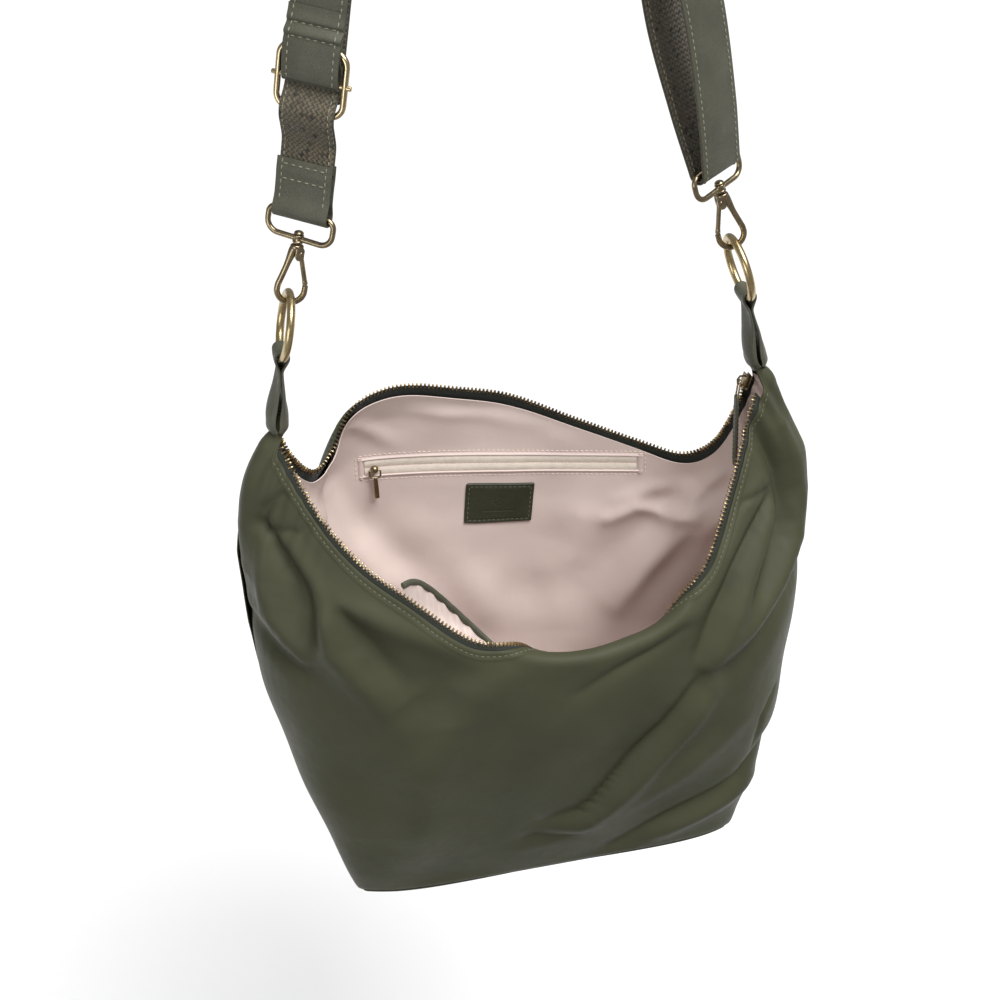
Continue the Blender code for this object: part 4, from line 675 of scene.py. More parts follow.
WIDTH_AT, SQUARENESS_AT = curve(HALF_WIDTH), curve(SQUARENESS)
DEPTH_AT = {side: curve(rows) for side, rows in DEPTHS.items()}
RIM_PATHS = {side: smooth_path(np.array(rows) * MM, 641) for side, rows in RIMS.items()}


def rim(side, t):
    path = RIM_PATHS[side]
    place = np.clip(t, 0, 1) * (len(path) - 1)
    k = np.minimum(place.astype(int), len(path) - 2)
    return path[k] + (path[k + 1] - path[k]) * (place - k)[..., None]


def section(side, t, z):
    """Point on the bag's section at height z; t runs from the left seam to the right one."""
    width, depth = WIDTH_AT(z / MM) * MM, DEPTH_AT[side](z / MM) * MM
    power = 2 / SQUARENESS_AT(z / MM)
    cosine, sine = np.cos(math.pi * t), np.maximum(np.sin(math.pi * t), 0)
    return np.stack([-width * np.sign(cosine) * np.abs(cosine) ** power, side * depth * sine ** power,
                     z * np.ones_like(t)], -1)


def droop(t):
    return CORNER_DROOP * np.exp(-(np.minimum(t, 1 - t) / SEAM_REACH) ** 2)


def wall(side, t, v):
    """Smooth outer face of a wall; v is 0 at the rim and 1 at the base, where it turns under."""
    top = rim(side, t)
    z = top[..., 2] + (BASE_Z - top[..., 2]) * v
    shift = top - section(side, t, top[..., 2])
    point = section(side, t, z) + shift * (np.maximum(1 - v, 0) ** RIM_FADE)[..., None]
    above = np.clip(BASE_ROUND - (z - BASE_Z), 0, BASE_ROUND)
    tuck = BASE_ROUND - np.sqrt(BASE_ROUND ** 2 - above ** 2)
    flat = point[..., :2]
    point[..., :2] = flat - unit(flat) * tuck[..., None]
    point[..., 2] -= droop(t) * np.clip(v, 0, 1) ** 6
    return point


def wall_frames(side, t, v):
    """Point, outward normal and upward tangent of the smooth wall."""
    step = 0.003
    t0, t1 = np.maximum(t - step, 0), np.minimum(t + step, 1)
    v0, v1 = np.maximum(v - step, 0), np.minimum(v + step, 1)
    along = wall(side, t1, v) - wall(side, t0, v)
    down = wall(side, t, v1) - wall(side, t, v0)
    normal = unit(np.cross(down, along) * -side)
    upward = -unit(down)
    upward = unit(upward - normal * (upward * normal).sum(-1, keepdims=True))
    return wall(side, t, v), normal, upward


def fold_height(folds, x, z):
    """Sum of the folds' heights, in metres, at points given in metres."""
    x, z = x / MM, z / MM
    total = np.zeros_like(x)
    for path, height, widths, sharpness in folds:
        pts = np.array(path, float)
        spans = path_lengths(pts)
        best = np.full_like(x, 1e9)
        place = np.zeros_like(x)
        for a, b, start in zip(pts, pts[1:], spans):
            run = b - a
            share = np.clip(((x - a[0]) * run[0] + (z - a[1]) * run[1]) / (run @ run), 0, 1)
            gap = np.hypot(x - a[0] - run[0] * share, z - a[1] - run[1] * share)
            nearer = gap < best
            place = np.where(nearer, (start + share * np.hypot(*run)) / spans[-1], place)
            best = np.where(nearer, gap, best)
        width = widths[0] + (widths[1] - widths[0]) * place
        fade = np.sin(math.pi * np.clip(0.12 + 0.76 * place, 0, 1)) ** 0.7
        total += height * fade * np.exp(-(best / width) ** sharpness)
    return total * MM


def ripples(x, z, seed, wavelength, height, count=14):
    """Gentle irregular waves, in metres."""
    rng = np.random.default_rng(seed)
    total = np.zeros_like(x)
    for _ in range(count):
        angle, phase = rng.uniform(0, 2 * math.pi, 2)
        number = 2 * math.pi / (wavelength * rng.uniform(0.6, 1.7))
        total += np.sin(number * (x * math.cos(angle) + z * math.sin(angle)) + phase)
    return total * height / math.sqrt(count)


def gathers(side, t, s):
    """Small tucks that fan out from the two tips and fade down the wall."""
    near = np.exp(-(np.minimum(t, 1 - t) / TUCK_REACH) ** 2) * np.exp(-np.maximum(s, 0) / TUCK_FADE)
    return near * np.sin(2 * math.pi * t * TUCK_COUNT + side) * TUCK_HEIGHT


def roll_share(side, t):
    """How far the front rim's middle is rolled in, from 0 to 1."""
    if side == BACK:
        return np.zeros_like(t)
    start, full, ebb, end = ROLL_SPANS
    return smoothstep(t, start, full) * (1 - smoothstep(t, ebb, end))


def zip_line(side, t):
    """The line of teeth, as a distance down the cloth from the plain rim."""
    return -ROLL_EXTRA * roll_share(side, t)


def wall_length(side, t):
    """Length of cloth from the rim to the base, as its upper tenth gives it."""
    upper_tenth = np.linalg.norm(wall(side, t, 0.1 * np.ones_like(t)) - rim(side, t), axis=-1)
    return np.maximum(upper_tenth * 10, 20 * MM)


def pocket_calm(x, z):
    """0 along the back lining's zip, which its slider keeps flat, rising to 1 away from it."""
    (x0, z0), (x1, z1) = np.array(POCKET_LEFT) * MM, np.array(POCKET_RIGHT) * MM
    share = np.clip((x - x0) / (x1 - x0), 0, 1)
    gap = np.hypot(x - x0 - (x1 - x0) * share, z - z0 - (z1 - z0) * share)
    return 1 - np.exp(-(gap / (16 * MM)) ** 2)


def cloth(side, t, s, depth, own_folds=None):
    """Point at distance s down the cloth from the rim and at a depth under its outer face."""
    turn = roll_share(side, t)
    start = ROLL_RADIUS * turn
    v = np.clip(np.maximum(s, start) / wall_length(side, t), 0, 1)
    point, normal, upward = wall_frames(side, t, v)
    x, z = point[..., 0], point[..., 2]
    settle = smoothstep(1 - v, 0.0, 0.06)
    lift = fold_height(FOLDS[side], x, z) + ripples(x, z, 3 + side, *WALL_WAVES)
    lift = lift * settle + gathers(side, t, s)
    near_tip = np.exp(-(np.minimum(t, 1 - t) / TIP_REACH) ** 2)
    swell = smoothstep(s, -12 * MM, 10 * MM) * (1 - smoothstep(s, 45 * MM, 130 * MM))
    lift = lift + SHOULDER[side] * near_tip * swell
    if own_folds is not None:
        if side == BACK:
            settle = settle * pocket_calm(x, z)
            lift = lift * pocket_calm(x, z)
        inward = fold_height(own_folds, x, z) + 0.7 * MM + ripples(x, z, 11 + side, *LINING_WAVES)
        depth = depth + np.maximum(inward, 0) * settle * smoothstep(s, 8 * MM, 26 * MM)
    point = point + normal * lift[..., None]
    over = np.maximum(start - s, 0)
    angle = np.minimum(over / ROLL_RADIUS, ROLL_TURN * turn)
    straight = over - ROLL_RADIUS * angle
    cosine, sine = np.cos(angle)[..., None], np.sin(angle)[..., None]
    radial = normal * cosine + upward * sine
    tangent = upward * cosine - normal * sine
    reach = ROLL_RADIUS - depth if np.ndim(depth) == 0 else (ROLL_RADIUS - depth)[..., None]
    point = point - normal * ROLL_RADIUS + radial * reach + tangent * straight[..., None]
    point[..., 1] = side * np.maximum(side * point[..., 1], 0.3 * MM)
    return point


def seam_spaced(count):
    return 0.5 - 0.5 * np.cos(math.pi * np.arange(count) / (count - 1))


def facing(side, outer, inner):
    """The two faces of a wall's sheet in the order that makes its outer face point outwards."""
    return (outer, inner) if side == FRONT else (outer[::-1], inner[::-1])


def nylon_depth(below):
    """The hem is folded double: it stands a little proud, and its stitching draws it in."""
    hem = smoothstep(below, 0, 0.8 * MM) * (1 - smoothstep(below, 5.4 * MM, 7.5 * MM))
    stitch = np.exp(-((below - HEM_STITCH) / (0.9 * MM)) ** 2)
    return -0.45 * MM * hem + 0.35 * MM * stitch


def nylon_edge(side, t):
    """Distance down the cloth to the nylon's edge; at the two tips it reaches up into the tabs."""
    tip = 1 - smoothstep(np.minimum(t, 1 - t), 0.008, 0.032)
    return zip_line(side, t) + HEM - (HEM + TIP_COVER) * tip


def build_nylon(word, side):
    t = seam_spaced(NYLON_COLUMNS)[:, None]
    start = nylon_edge(side, t)
    near = np.concatenate([np.arange(0, 10, 0.8), np.arange(10, 34, 1.5)]) * MM
    far = (np.arange(1, 131) / 130) ** 1.05
    length = wall_length(side, t)
    reach = start + near[-1]
    s = np.concatenate([start + near[None], reach + (length - reach) * far[None]], 1)
    t = t * np.ones_like(s)
    below = s - start
    outer = cloth(side, t, s, nylon_depth(below))
    inner = cloth(side, t, s, NYLON)
    points, faces = closed_sheet(*facing(side, outer, inner))
    piece = add_piece("nylon_" + word, points, faces, NYLON_CLOTH, "bag")
    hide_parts("bag_" + word)
    t_line = np.linspace(0.03, 0.97, 900)
    line = nylon_edge(side, t_line) + HEM_STITCH
    on = cloth(side, t_line, line, -0.12 * MM)
    under = cloth(side, t_line, line, 0.6 * MM)
    stitch_row("rim_stitching_" + word, on, unit(on - under), OLIVE_THREAD, "bag", "olive_leather",
               **RIM_STITCHES)


def build_base():
    """Nylon base panel that sags a little between its seams, and its lining."""
    for name, node_name, low, high, inset, skin, slot in (
            ("nylon_base", "bag_base", -1.5 * MM, -0.4 * MM, BASE_ROUND - 0.6 * MM, NYLON_CLOTH,
             "olive_nylon"),
            ("lining_floor", "lining_base", 1.6 * MM, 2.3 * MM, BASE_ROUND + 4 * MM, LINING_CLOTH,
             "blush_lining")):
        t = seam_spaced(BASE_COLUMNS)
        outline = np.concatenate([section(FRONT, t, np.full_like(t, BASE_Z))[:-1],
                                  section(BACK, t[::-1], np.full_like(t, BASE_Z))[:-1]])
        outline = outline - unit(outline * (1, 1, 0)) * inset
        lower = np.concatenate([droop(t)[:-1], droop(t[::-1])[:-1]])
        shares = np.linspace(1, 0.02, 26)
        grid = outline[:, None, :] * np.stack([shares, shares, np.ones_like(shares)], -1)[None]
        sag = (1 - shares ** 4)[None] * 3.0 * MM
        wave = ripples(grid[..., 0], grid[..., 1], 21, 70 * MM, 0.5 * MM) * (1 - shares ** 6)[None]
        points = []
        for level in (low, high):
            face = grid.copy()
            face[..., 2] = BASE_Z + level - (sag if node_name == "bag_base" else 0) + wave
            face[..., 2] -= lower[:, None] * shares[None] ** 3
            points.append(face.reshape(-1, 3))
        columns, rows = grid.shape[:2]
        count = columns * rows
        faces = list(map(tuple, grid_faces(columns, rows, wrap=True)))
        faces += list(map(tuple, grid_faces(columns, rows, count, flip=True, wrap=True)))
        ring = [i * rows for i in range(columns)]
        for a, b in zip(ring, ring[1:] + ring[:1]):
            faces.append((b, a, a + count, b + count))
        faces.append(tuple(i * rows + rows - 1 for i in range(columns)))
        faces.append(tuple(count + i * rows + rows - 1 for i in range(columns - 1, -1, -1)))
        piece = add_piece(name, np.concatenate(points), faces, skin, "bag")
        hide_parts(node_name)


def build_lining(word, side):
    t = seam_spaced(LINING_COLUMNS)[:, None]
    start = zip_line(side, t) + LINING_EDGE
    length = wall_length(side, t)
    far = (np.arange(0, 121) / 120) ** 1.2
    s = start + (length - start) * far[None]
    t = t * np.ones_like(s)
    outer = cloth(side, t, s, LINING_DEPTH[side], LINING_FOLDS[side])
    inner = cloth(side, t, s, LINING_DEPTH[side] + LINING, LINING_FOLDS[side])
    for face in (outer, inner):
        face[..., 2] = np.maximum(face[..., 2], BASE_Z + 1.2 * MM - droop(t))
    points, faces = closed_sheet(*facing(side, outer, inner))
    piece = add_piece("satin_lining_" + word, points, faces, LINING_CLOTH, "bag")
    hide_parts("lining_" + word)


def tooth_template():
    """Metal zip tooth: X along the zip, Y across its thickness, Z up to its tip, all in metres."""
    w, d = 0.62 * MM, 1.2 * MM
    rows = [(-1.7 * MM, 0.8, 0.72), (-0.9 * MM, 1.0, 1.0), (0.3 * MM, 1.0, 1.0), (1.0 * MM, 0.78, 0.86),
            (1.5 * MM, 0.55, 0.60)]
    bevel = 0.72
    points, faces = [], []
    for z, kx, ky in rows:
        for x, y in ((-w, -d * bevel), (-w * bevel, -d), (w * bevel, -d), (w, -d * bevel), (w, d * bevel),
                     (w * bevel, d), (-w * bevel, d), (-w, d * bevel)):
            points.append((x * kx, y * ky, z))
    for k in range(len(rows) - 1):
        for a in range(8):
            b = (a + 1) % 8
            faces.append((k * 8 + a, k * 8 + b, (k + 1) * 8 + b, (k + 1) * 8 + a))
    faces.append(tuple(range(7, -1, -1)))
    faces.append(tuple(range((len(rows) - 1) * 8, len(rows) * 8)))
    return np.array(points), faces


def build_zip(word, side):
    t = np.linspace(*ZIP_ENDS, 380)[:, None]
    line = zip_line(side, t)
    below = np.linspace(0.6, 13.5, 10)[None] * MM
    s = line + below
    t_grid = t * np.ones_like(s)
    outer = cloth(side, t_grid, s, TAPE_DEPTH)
    inner = cloth(side, t_grid, s, TAPE_DEPTH + TAPE)
    along = path_lengths(outer[:, 3])[:, None] * np.ones_like(s)
    uv = np.stack([along, below * np.ones_like(s)], -1)
    outer, inner = facing(side, outer, inner)
    uv = uv if side == FRONT else uv[::-1]
    points, faces = closed_sheet(outer, inner)
    piece = add_piece("woven_tape_" + word, points, faces, ZIP_TAPE_CLOTH, "bag",
                      uv=np.concatenate([uv, uv]))
    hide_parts("zip_tape_" + word)

    t_line = np.linspace(*ZIP_ENDS, 1400)
    middle = TAPE_DEPTH + TAPE / 2
    track = cloth(side, t_line, zip_line(side, t_line), middle)
    lengths = path_lengths(track)
    count = int(lengths[-1] / TOOTH_PITCH)
    goals = (np.arange(count) + (0.25 if side == FRONT else 0.75)) * TOOTH_PITCH
    at = np.interp(goals, lengths, t_line)
    centre = cloth(side, at, zip_line(side, at), middle)
    ahead = cloth(side, at + 0.0008, zip_line(side, at + 0.0008), middle)
    behind = cloth(side, at - 0.0008, zip_line(side, at - 0.0008), middle)
    lower = cloth(side, at, zip_line(side, at) + MM, middle)
    x_axis = unit(ahead - behind)
    z_axis = unit(centre - lower)
    z_axis = unit(z_axis - x_axis * (z_axis * x_axis).sum(-1, keepdims=True))
    y_axis = np.cross(z_axis, x_axis)
    piece = scatter("metal_teeth_" + word, tooth_template(), centre, x_axis, y_axis, z_axis, TOOTH_METAL,
                    "bag")
    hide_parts("zip_teeth_" + word)


# ---------------------------------------------------------------- strap

def strap_stations(side):
    """Distances from the bar, points and upward tangents from a bar to the top of the arch."""
    bar = np.array((side * STRAP_SPREAD, 0, STRAP_BAR_Z))
    up = np.array((-side * math.sin(STRAP_LEAN), 0, math.cos(STRAP_LEAN)))
    shoulder = bar + up * STRAP_STRAIGHT
    pull = 0.5 * abs(shoulder[2])
    a, b, c, d = shoulder, shoulder + up * pull, np.array((shoulder[0] * 0.55, 0, 0)), np.zeros(3)
    s = np.arange(0, STRAP_STRAIGHT, BAND_STEP)
    points, tangents = bar + s[:, None] * up, np.tile(up, (len(s), 1))
    t = np.linspace(0, 1, 90)[:, None]
    bend = (1 - t) ** 3 * a + 3 * t * (1 - t) ** 2 * b + 3 * t * t * (1 - t) * c + t ** 3 * d
    slope = (1 - t) ** 2 * (b - a) + 2 * t * (1 - t) * (c - b) + t * t * (d - c)
    s = np.concatenate([s, STRAP_STRAIGHT + path_lengths(bend)])
    return s, np.concatenate([points, bend]), np.concatenate([tangents, unit(slope)])


def strap_axes(side, s, up):
    """Across and outward directions of the strap, twisting from its lower end to its arch."""
    length = strap_stations(side)[0][-1]
    share = smoothstep(s, STRAP_STRAIGHT, length * 0.9)
    twist = STRAP_TWIST + (math.pi / 2 - STRAP_TWIST) * share
    flat = np.stack([side * up[:, 2], 0 * s, -side * up[:, 0]], -1)
    outward = unit(flat * np.sin(twist)[:, None] + np.stack([0 * s, -np.cos(twist), 0 * s], -1))
    across = unit(np.cross(up, outward) * -side)
    return across, outward


LAYER_OFFSETS = {
    (-1, "inner"): curve([(0, 0), (400, 0)]),
    (-1, "outer"): curve([(0, 3.4), (400, 3.4)]),
    (1, "inner"): curve([(0, -5), (40, -11.5), (100, -17), (200, -9), (300, -1), (360, 0), (400, 0)]),
    (1, "outer"): curve([(0, 5), (40, 10), (100, 13), (200, 8), (300, 3.8), (360, 3.4), (400, 3.4)]),
}


def layer_frames(side, layer, lowest=0.0):
    """Centres, across and leatherward directions of one layer, from a bar up to the arch's top."""
    s, points, up = strap_stations(side)
    keep = s >= lowest
    s, points, up = s[keep], points[keep], up[keep]
    across, outward = strap_axes(side, s, up)
    points = points + outward * (LAYER_OFFSETS[side, layer](s / MM) * MM)[:, None]
    return points, across, outward if layer == "outer" else -outward


def lower_axes(side):
    """Bar point, upward, across and outward directions at a strap's lower end."""
    s, points, up = strap_stations(side)
    across, outward = strap_axes(side, s[:1], up[:1])
    return points[0], up[0], across[0], outward[0]


def band(name, centres, across, towards, body, webbing_node=None, leather_node=None):
    """Webbing and leather layers of a stretch of strap, sewn along both edges on both faces."""
    along = path_lengths(centres)
    pieces = []
    for part, (low, high), skin, slot, node_name in (
            ("webbing", WEBBING, WEBBING_CLOTH, "olive_webbing", webbing_node),
            ("leather", LEATHER, LEATHER_SKIN, "olive_leather", leather_node)):
        outline = rounded_outline(STRAP_WIDTH / 2 - (0.6 * MM if part == "webbing" else 0), low, high)
        points, faces = sweep(centres, across, towards, outline)
        sides = len(outline)
        uv = np.stack([np.tile([x for x, _ in outline], len(centres)), np.repeat(along, sides)], -1)
        piece = add_piece(f"{name}_{part}", points, faces, skin, body, uv=uv)
        if node_name:
            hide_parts(node_name)
        pieces.append(piece)
    inset = STRAP_WIDTH / 2 - 3.2 * MM
    for word, sign in (("a", -1), ("b", 1)):
        for face, level, direction in (("leather", LEATHER[1], 1), ("webbing", WEBBING[0], -1)):
            line = centres + across * inset * sign + towards * (level + direction * THREAD_PROUD)
            pieces.append(stitch_row(f"{name}_stitches_{face}_{word}", line, towards * direction, PALE_THREAD,
                                     body, "olive_webbing"))
    return pieces


ADJUSTER_JOG = curve([(0, 0), (36, 0), (44, 0.6), (52, 4.4), (57, 7.0), (62, 7.9), (66, 7.2), (71, 4.6),
                      (76, 2.9), (84, 2.6)])


def build_strap():
    centres, across, towards = [], [], []

    def extend(frames, backwards=False):
        for store, values in zip((centres, across, towards), frames):
            store.append(values[::-1] if backwards else values)
    extend(layer_frames(-1, "inner", ADJUSTER_S - 14 * MM))
    right = layer_frames(1, "inner")
    extend([values[:-1] for values in right], backwards=True)
    bar, up, over, outward = lower_axes(1)
    angles = math.pi * (1 + np.arange(1, 24) / 24)[:, None]
    radial = outward * np.cos(angles) + up * np.sin(angles)
    extend((bar + radial * FOLD_RADIUS, np.tile(over, (23, 1)), radial))
    extend(layer_frames(1, "outer"))
    extend([values[:-1] for values in layer_frames(-1, "outer", STRETCH_END)], backwards=True)
    centres, across, towards = map(np.concatenate, (centres, across, towards))
    across = unit(across)
    band("strap_band", centres, across, towards, "strap", "strap_webbing", "strap_leather")

    point, up, over, outward = lower_axes(-1)
    s = np.arange(27, 82, 1.2) * MM
    jog = point + up * s[:, None] + outward * (ADJUSTER_JOG(s / MM) * MM)[:, None]
    tangent = unit(np.gradient(jog, axis=0))
    across = np.tile(over, (len(s), 1))
    facing_back = -unit(np.cross(tangent, across) * np.sign((np.cross(tangent, across) @ outward))[:, None])
    for piece in band("strap_jog", jog, across, facing_back, None):
        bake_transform(piece)

    start = ADJUSTER_S + LOOP_END_LENGTH - 6 * MM
    s = np.linspace(start, STRETCH_END + 4 * MM, 40)
    lift = OUTER_LAYER + 0.3 * MM * np.sin(math.pi * (s - start) / (s[-1] - start))
    outer = point + up * s[:, None] + outward * lift[:, None]
    pieces = band("strap_outer", outer, np.tile(over, (len(s), 1)), np.tile(outward, (len(s), 1)), None)
    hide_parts("strap_outer_stretch")
    for piece in pieces:
        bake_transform(piece)


def strip(name, path, side_axis, width, thickness, skin, body):
    """Leather strip along a planar path, with round edges."""
    tangent = unit(np.gradient(path, axis=0))
    across = np.tile(side_axis, (len(path), 1))
    normal = unit(np.cross(tangent, across))
    points, faces = sweep(path, across, normal, rounded_outline(width / 2, -thickness / 2, thickness / 2))
    along = path_lengths(path)
    sides = len(points) // len(path)
    uv = np.stack([np.tile(np.arange(sides) * width / sides, len(path)), np.repeat(along, sides)], -1)
    return add_piece(name, points, faces, skin, body, uv=uv)


def half_turn(s, n, radius, steps=14):
    angles = math.pi * np.arange(steps + 1) / steps
    return np.stack([s - radius * np.sin(angles), n + radius * np.cos(angles)], -1)


def strap_place(path):
    """World points for a path of (up the strap, outward) at the left lower end."""
    point, up, _, outward = lower_axes(-1)
    return point + path[:, :1] * up + path[:, 1:] * outward


def stitches_on(name, path, offsets, body):
    """Rows of stitches along a leather strip's path, on its outward face, at each offset across it."""
    over, outward = lower_axes(-1)[2:]
    tangent = unit(np.gradient(path, axis=0))
    normal = unit(np.cross(tangent, np.tile(over, (len(path), 1))))
    if (normal @ outward).mean() < 0:
        normal = -normal
    for k, offset in enumerate(offsets):
        line = path + over * offset + normal * TAB_LEATHER / 2
        stitch_row(f"{name}_{k}", line, normal, PALE_THREAD, body, "olive_leather")


def cross_stitches(name, front, height, half_width, sign, body):
    """Row of stitches straight across a folded leather end, at a height up its front path."""
    point, up, over, outward = lower_axes(-1)
    level = np.interp(-height, -front[:, 0], front[:, 1]) + TAB_LEATHER / 2 + THREAD_PROUD
    middle = point + up * height + outward * sign * level
    line = middle + np.linspace(-half_width, half_width, 20)[:, None] * over
    stitch_row(name, line, np.tile(outward * sign, (20, 1)), PALE_THREAD, body, "olive_leather")


def build_strap_tab():
    over, outward = lower_axes(-1)[2:]
    rise = np.array([(TAB_LENGTH, 2.35 * MM), (24 * MM, 2.7 * MM), (20 * MM, 2.35 * MM), (9.5 * MM, 2.4 * MM),
                     (5 * MM, 3.5 * MM), (2.5 * MM, 4.25 * MM)])
    front = smooth_path(rise, 30)
    back = front[::-1] * (1, -1)
    path = np.concatenate([front, half_turn(0, 0, 4.4 * MM), back])
    piece = strip("folded_strap_tab", strap_place(path), over, STRAP_WIDTH + 0.8 * MM, TAB_LEATHER,
                  LEATHER_SKIN, "strap")
    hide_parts("left_strap_tab")
    side = STRAP_WIDTH / 2 - 3.4 * MM
    for word, sign in (("front", 1), ("back", -1)):
        face = strap_place(front * (1, sign))
        normals = np.tile(outward * sign, (len(face), 1))
        lifted = face + normals * (TAB_LEATHER / 2 + THREAD_PROUD)
        for k, offset in enumerate((-side, side)):
            stitch_row(f"tab_side_stitches_{word}_{k}", lifted[:-4] + over * offset, normals[:-4],
                       PALE_THREAD, "strap", "olive_leather")
        for k, height in enumerate((28.5 * MM, 19.5 * MM)):
            cross_stitches(f"tab_cross_stitches_{word}_{k}", front, height, side, sign, "strap")


def build_loop_end():
    """Leather end of the strap, folded round the adjuster's centre bar and sewn through twice."""
    over = lower_axes(-1)[2]
    s, n = ADJUSTER_S, ADJUSTER_N
    high = ADJUSTER_N + ADJUSTER_WIRE + 0.3 * MM + TAB_LEATHER / 2
    step = TAB_LEATHER + 0.3 * MM
    front = [(s + LOOP_END_LENGTH, 5.2 * MM), (s + 37.5 * MM, 5.5 * MM), (s + 33 * MM, 6.6 * MM),
             (s + 30.5 * MM, 5.9 * MM), (s + 26 * MM, high + step + 0.4 * MM),
             (s + 23.5 * MM, high + step - 0.5 * MM), (s + 19 * MM, high + step + 0.2 * MM),
             (s + 9 * MM, high + step - 0.2 * MM), (s + 2.5 * MM, 7.6 * MM), (s - 1.5 * MM, 6.4 * MM)]
    back = [(s + 2.5 * MM, 2.1 * MM), (s + 6.5 * MM, 3.0 * MM), (s + 10.5 * MM, 5.0 * MM),
            (s + 13.8 * MM, high - 0.6 * MM), (s + 16.5 * MM, high), (s + 19 * MM, high),
            (s + 26 * MM, high - 0.95 * MM), (s + 33 * MM, 4.4 * MM), (s + LOOP_END_LENGTH, 3.5 * MM)]
    turn = half_turn(s, n, 2.4 * MM)[2:]
    front_path = smooth_path(front, 70)
    path = np.concatenate([front_path, turn, smooth_path(back, 50)])
    piece = strip("strap_end_wrap", strap_place(path), over, STRAP_WIDTH + 0.6 * MM, TAB_LEATHER,
                  LEATHER_SKIN, "adjuster")
    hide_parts("strap_loop_end")
    side = STRAP_WIDTH / 2 - 3.2 * MM
    stitches_on("wrap_side_stitches", strap_place(front_path), (-side, side), "adjuster")
    for k, height in enumerate((s + 31 * MM, s + 23.5 * MM)):
        cross_stitches(f"wrap_cross_stitches_{k}", front_path, height, side, 1, "adjuster")


# ---------------------------------------------------------------- metal fittings

def axes(lean):
    """X, Y and Z directions of a part that leans by an angle from +Z towards -X."""
    return np.array(((math.cos(lean), 0, math.sin(lean)), (0, 1, 0), (-math.sin(lean), 0, math.cos(lean))))


def turned(directions, angle):
    """The directions turned about their own Z."""
    x, y, z = directions
    return np.array((x * math.cos(angle) + y * math.sin(angle), y * math.cos(angle) - x * math.sin(angle), z))


def rod(name, path, radius, origin, directions, skin, body, closed=False, sides=20):
    """Round rod along a path in its own XZ plane; the radius may vary along it."""
    path = np.asarray(path, float)
    if closed:
        tangent = unit(np.roll(path, -1, axis=0) - np.roll(path, 1, axis=0))
    else:
        tangent = unit(np.gradient(path, axis=0))
    across = np.tile((0.0, 1.0, 0.0), (len(path), 1))
    up = unit(np.cross(tangent, across))
    outline = circle_outline(1.0, sides)
    points, faces = sweep(path, across, up, outline, closed, radius * np.ones(len(path)))
    return add_piece(name, origin + points @ directions, faces, skin, body)


def lathe(name, profile, origin, directions, skin, body, sides=32, squash=(1.0, 1.0)):
    """Solid of revolution about its own Z through (radius, height) rows, from one pole to the other."""
    angles = 2 * math.pi * np.arange(sides) / sides
    points = [(0, 0, profile[0][1])]
    for r, z in profile[1:-1]:
        points += [(r * squash[0] * math.cos(a), r * squash[1] * math.sin(a), z) for a in angles]
    points.append((0, 0, profile[-1][1]))
    faces = [(0, 1 + (a + 1) % sides, 1 + a) for a in range(sides)]
    for k in range(len(profile) - 3):
        low = 1 + k * sides
        for a in range(sides):
            b = (a + 1) % sides
            faces.append((low + a, low + b, low + sides + b, low + sides + a))
    last, top = len(points) - 1, 1 + (len(profile) - 3) * sides
    faces += [(last, top + a, top + (a + 1) % sides) for a in range(sides)]
    return add_piece(name, origin + np.array(points) @ directions, faces, skin, body)


def round_profile(rows, radius=0.5 * MM, steps=4):
    """Profile of (radius, height) rows, in millimetres, whose corners are rounded off; in metres."""
    rows = np.array(rows, float) * MM
    out = [rows[0]]
    for a, b, c in zip(rows, rows[1:], rows[2:]):
        into, away = b - a, c - b
        reach = min(radius, 0.45 * np.hypot(*into), 0.45 * np.hypot(*away))
        start, end = b - into / np.hypot(*into) * reach, b + away / np.hypot(*away) * reach
        t = (np.arange(steps + 1) / steps)[:, None]
        out += list((1 - t) ** 2 * start + 2 * t * (1 - t) * b + t * t * end)
    out.append(rows[-1])
    return [tuple(row) for row in out]


def arc(cx, cz, radius, start, end, steps):
    """Points on an arc in the XZ plane; angles in degrees from +X towards +Z."""
    angles = np.radians(np.linspace(start, end, steps + 1))
    return np.stack([cx + radius * np.cos(angles), 0 * angles, cz + radius * np.sin(angles)], -1)


def rounded_rectangle(half_width, top, bottom, top_radius, bottom_radius, steps=10):
    """Closed path in the XZ plane, anticlockwise from the top right corner."""
    top_in, bottom_in = half_width - top_radius, half_width - bottom_radius
    return np.concatenate([arc(top_in, top - top_radius, top_radius, 0, 90, steps),
                           arc(-top_in, top - top_radius, top_radius, 90, 180, steps),
                           arc(-bottom_in, bottom + bottom_radius, bottom_radius, 180, 270, steps),
                           arc(bottom_in, bottom + bottom_radius, bottom_radius, 270, 360, steps)])


def body_of(node_name):
    return frame["nodes"][node_name]["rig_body"]


def build_adjuster():
    point, up, over, outward = lower_axes(-1)
    origin = point + up * ADJUSTER_S + outward * ADJUSTER_N
    directions = np.array((over, -outward, up))
    path = rounded_rectangle(ADJUSTER_HALF_WIDTH, ADJUSTER_HALF_HEIGHT, -ADJUSTER_HALF_HEIGHT,
                             ADJUSTER_CORNER, ADJUSTER_CORNER)
    body = body_of("adjuster_frame")
    piece = rod("adjuster_buckle", path, ADJUSTER_WIRE, origin, directions, ADJUSTER_METAL, body,
                closed=True)
    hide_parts("adjuster_frame")
    end = ADJUSTER_PIN_HALF
    pin = round_profile([(0, -end), (ADJUSTER_PIN, -end), (ADJUSTER_PIN, end), (0, end)], 0.7 * MM)
    sideways = np.array((directions[1], directions[2], directions[0]))
    piece = lathe("adjuster_pin", pin, origin, sideways, ADJUSTER_METAL, body, sides=24)
    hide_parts("adjuster_bar")


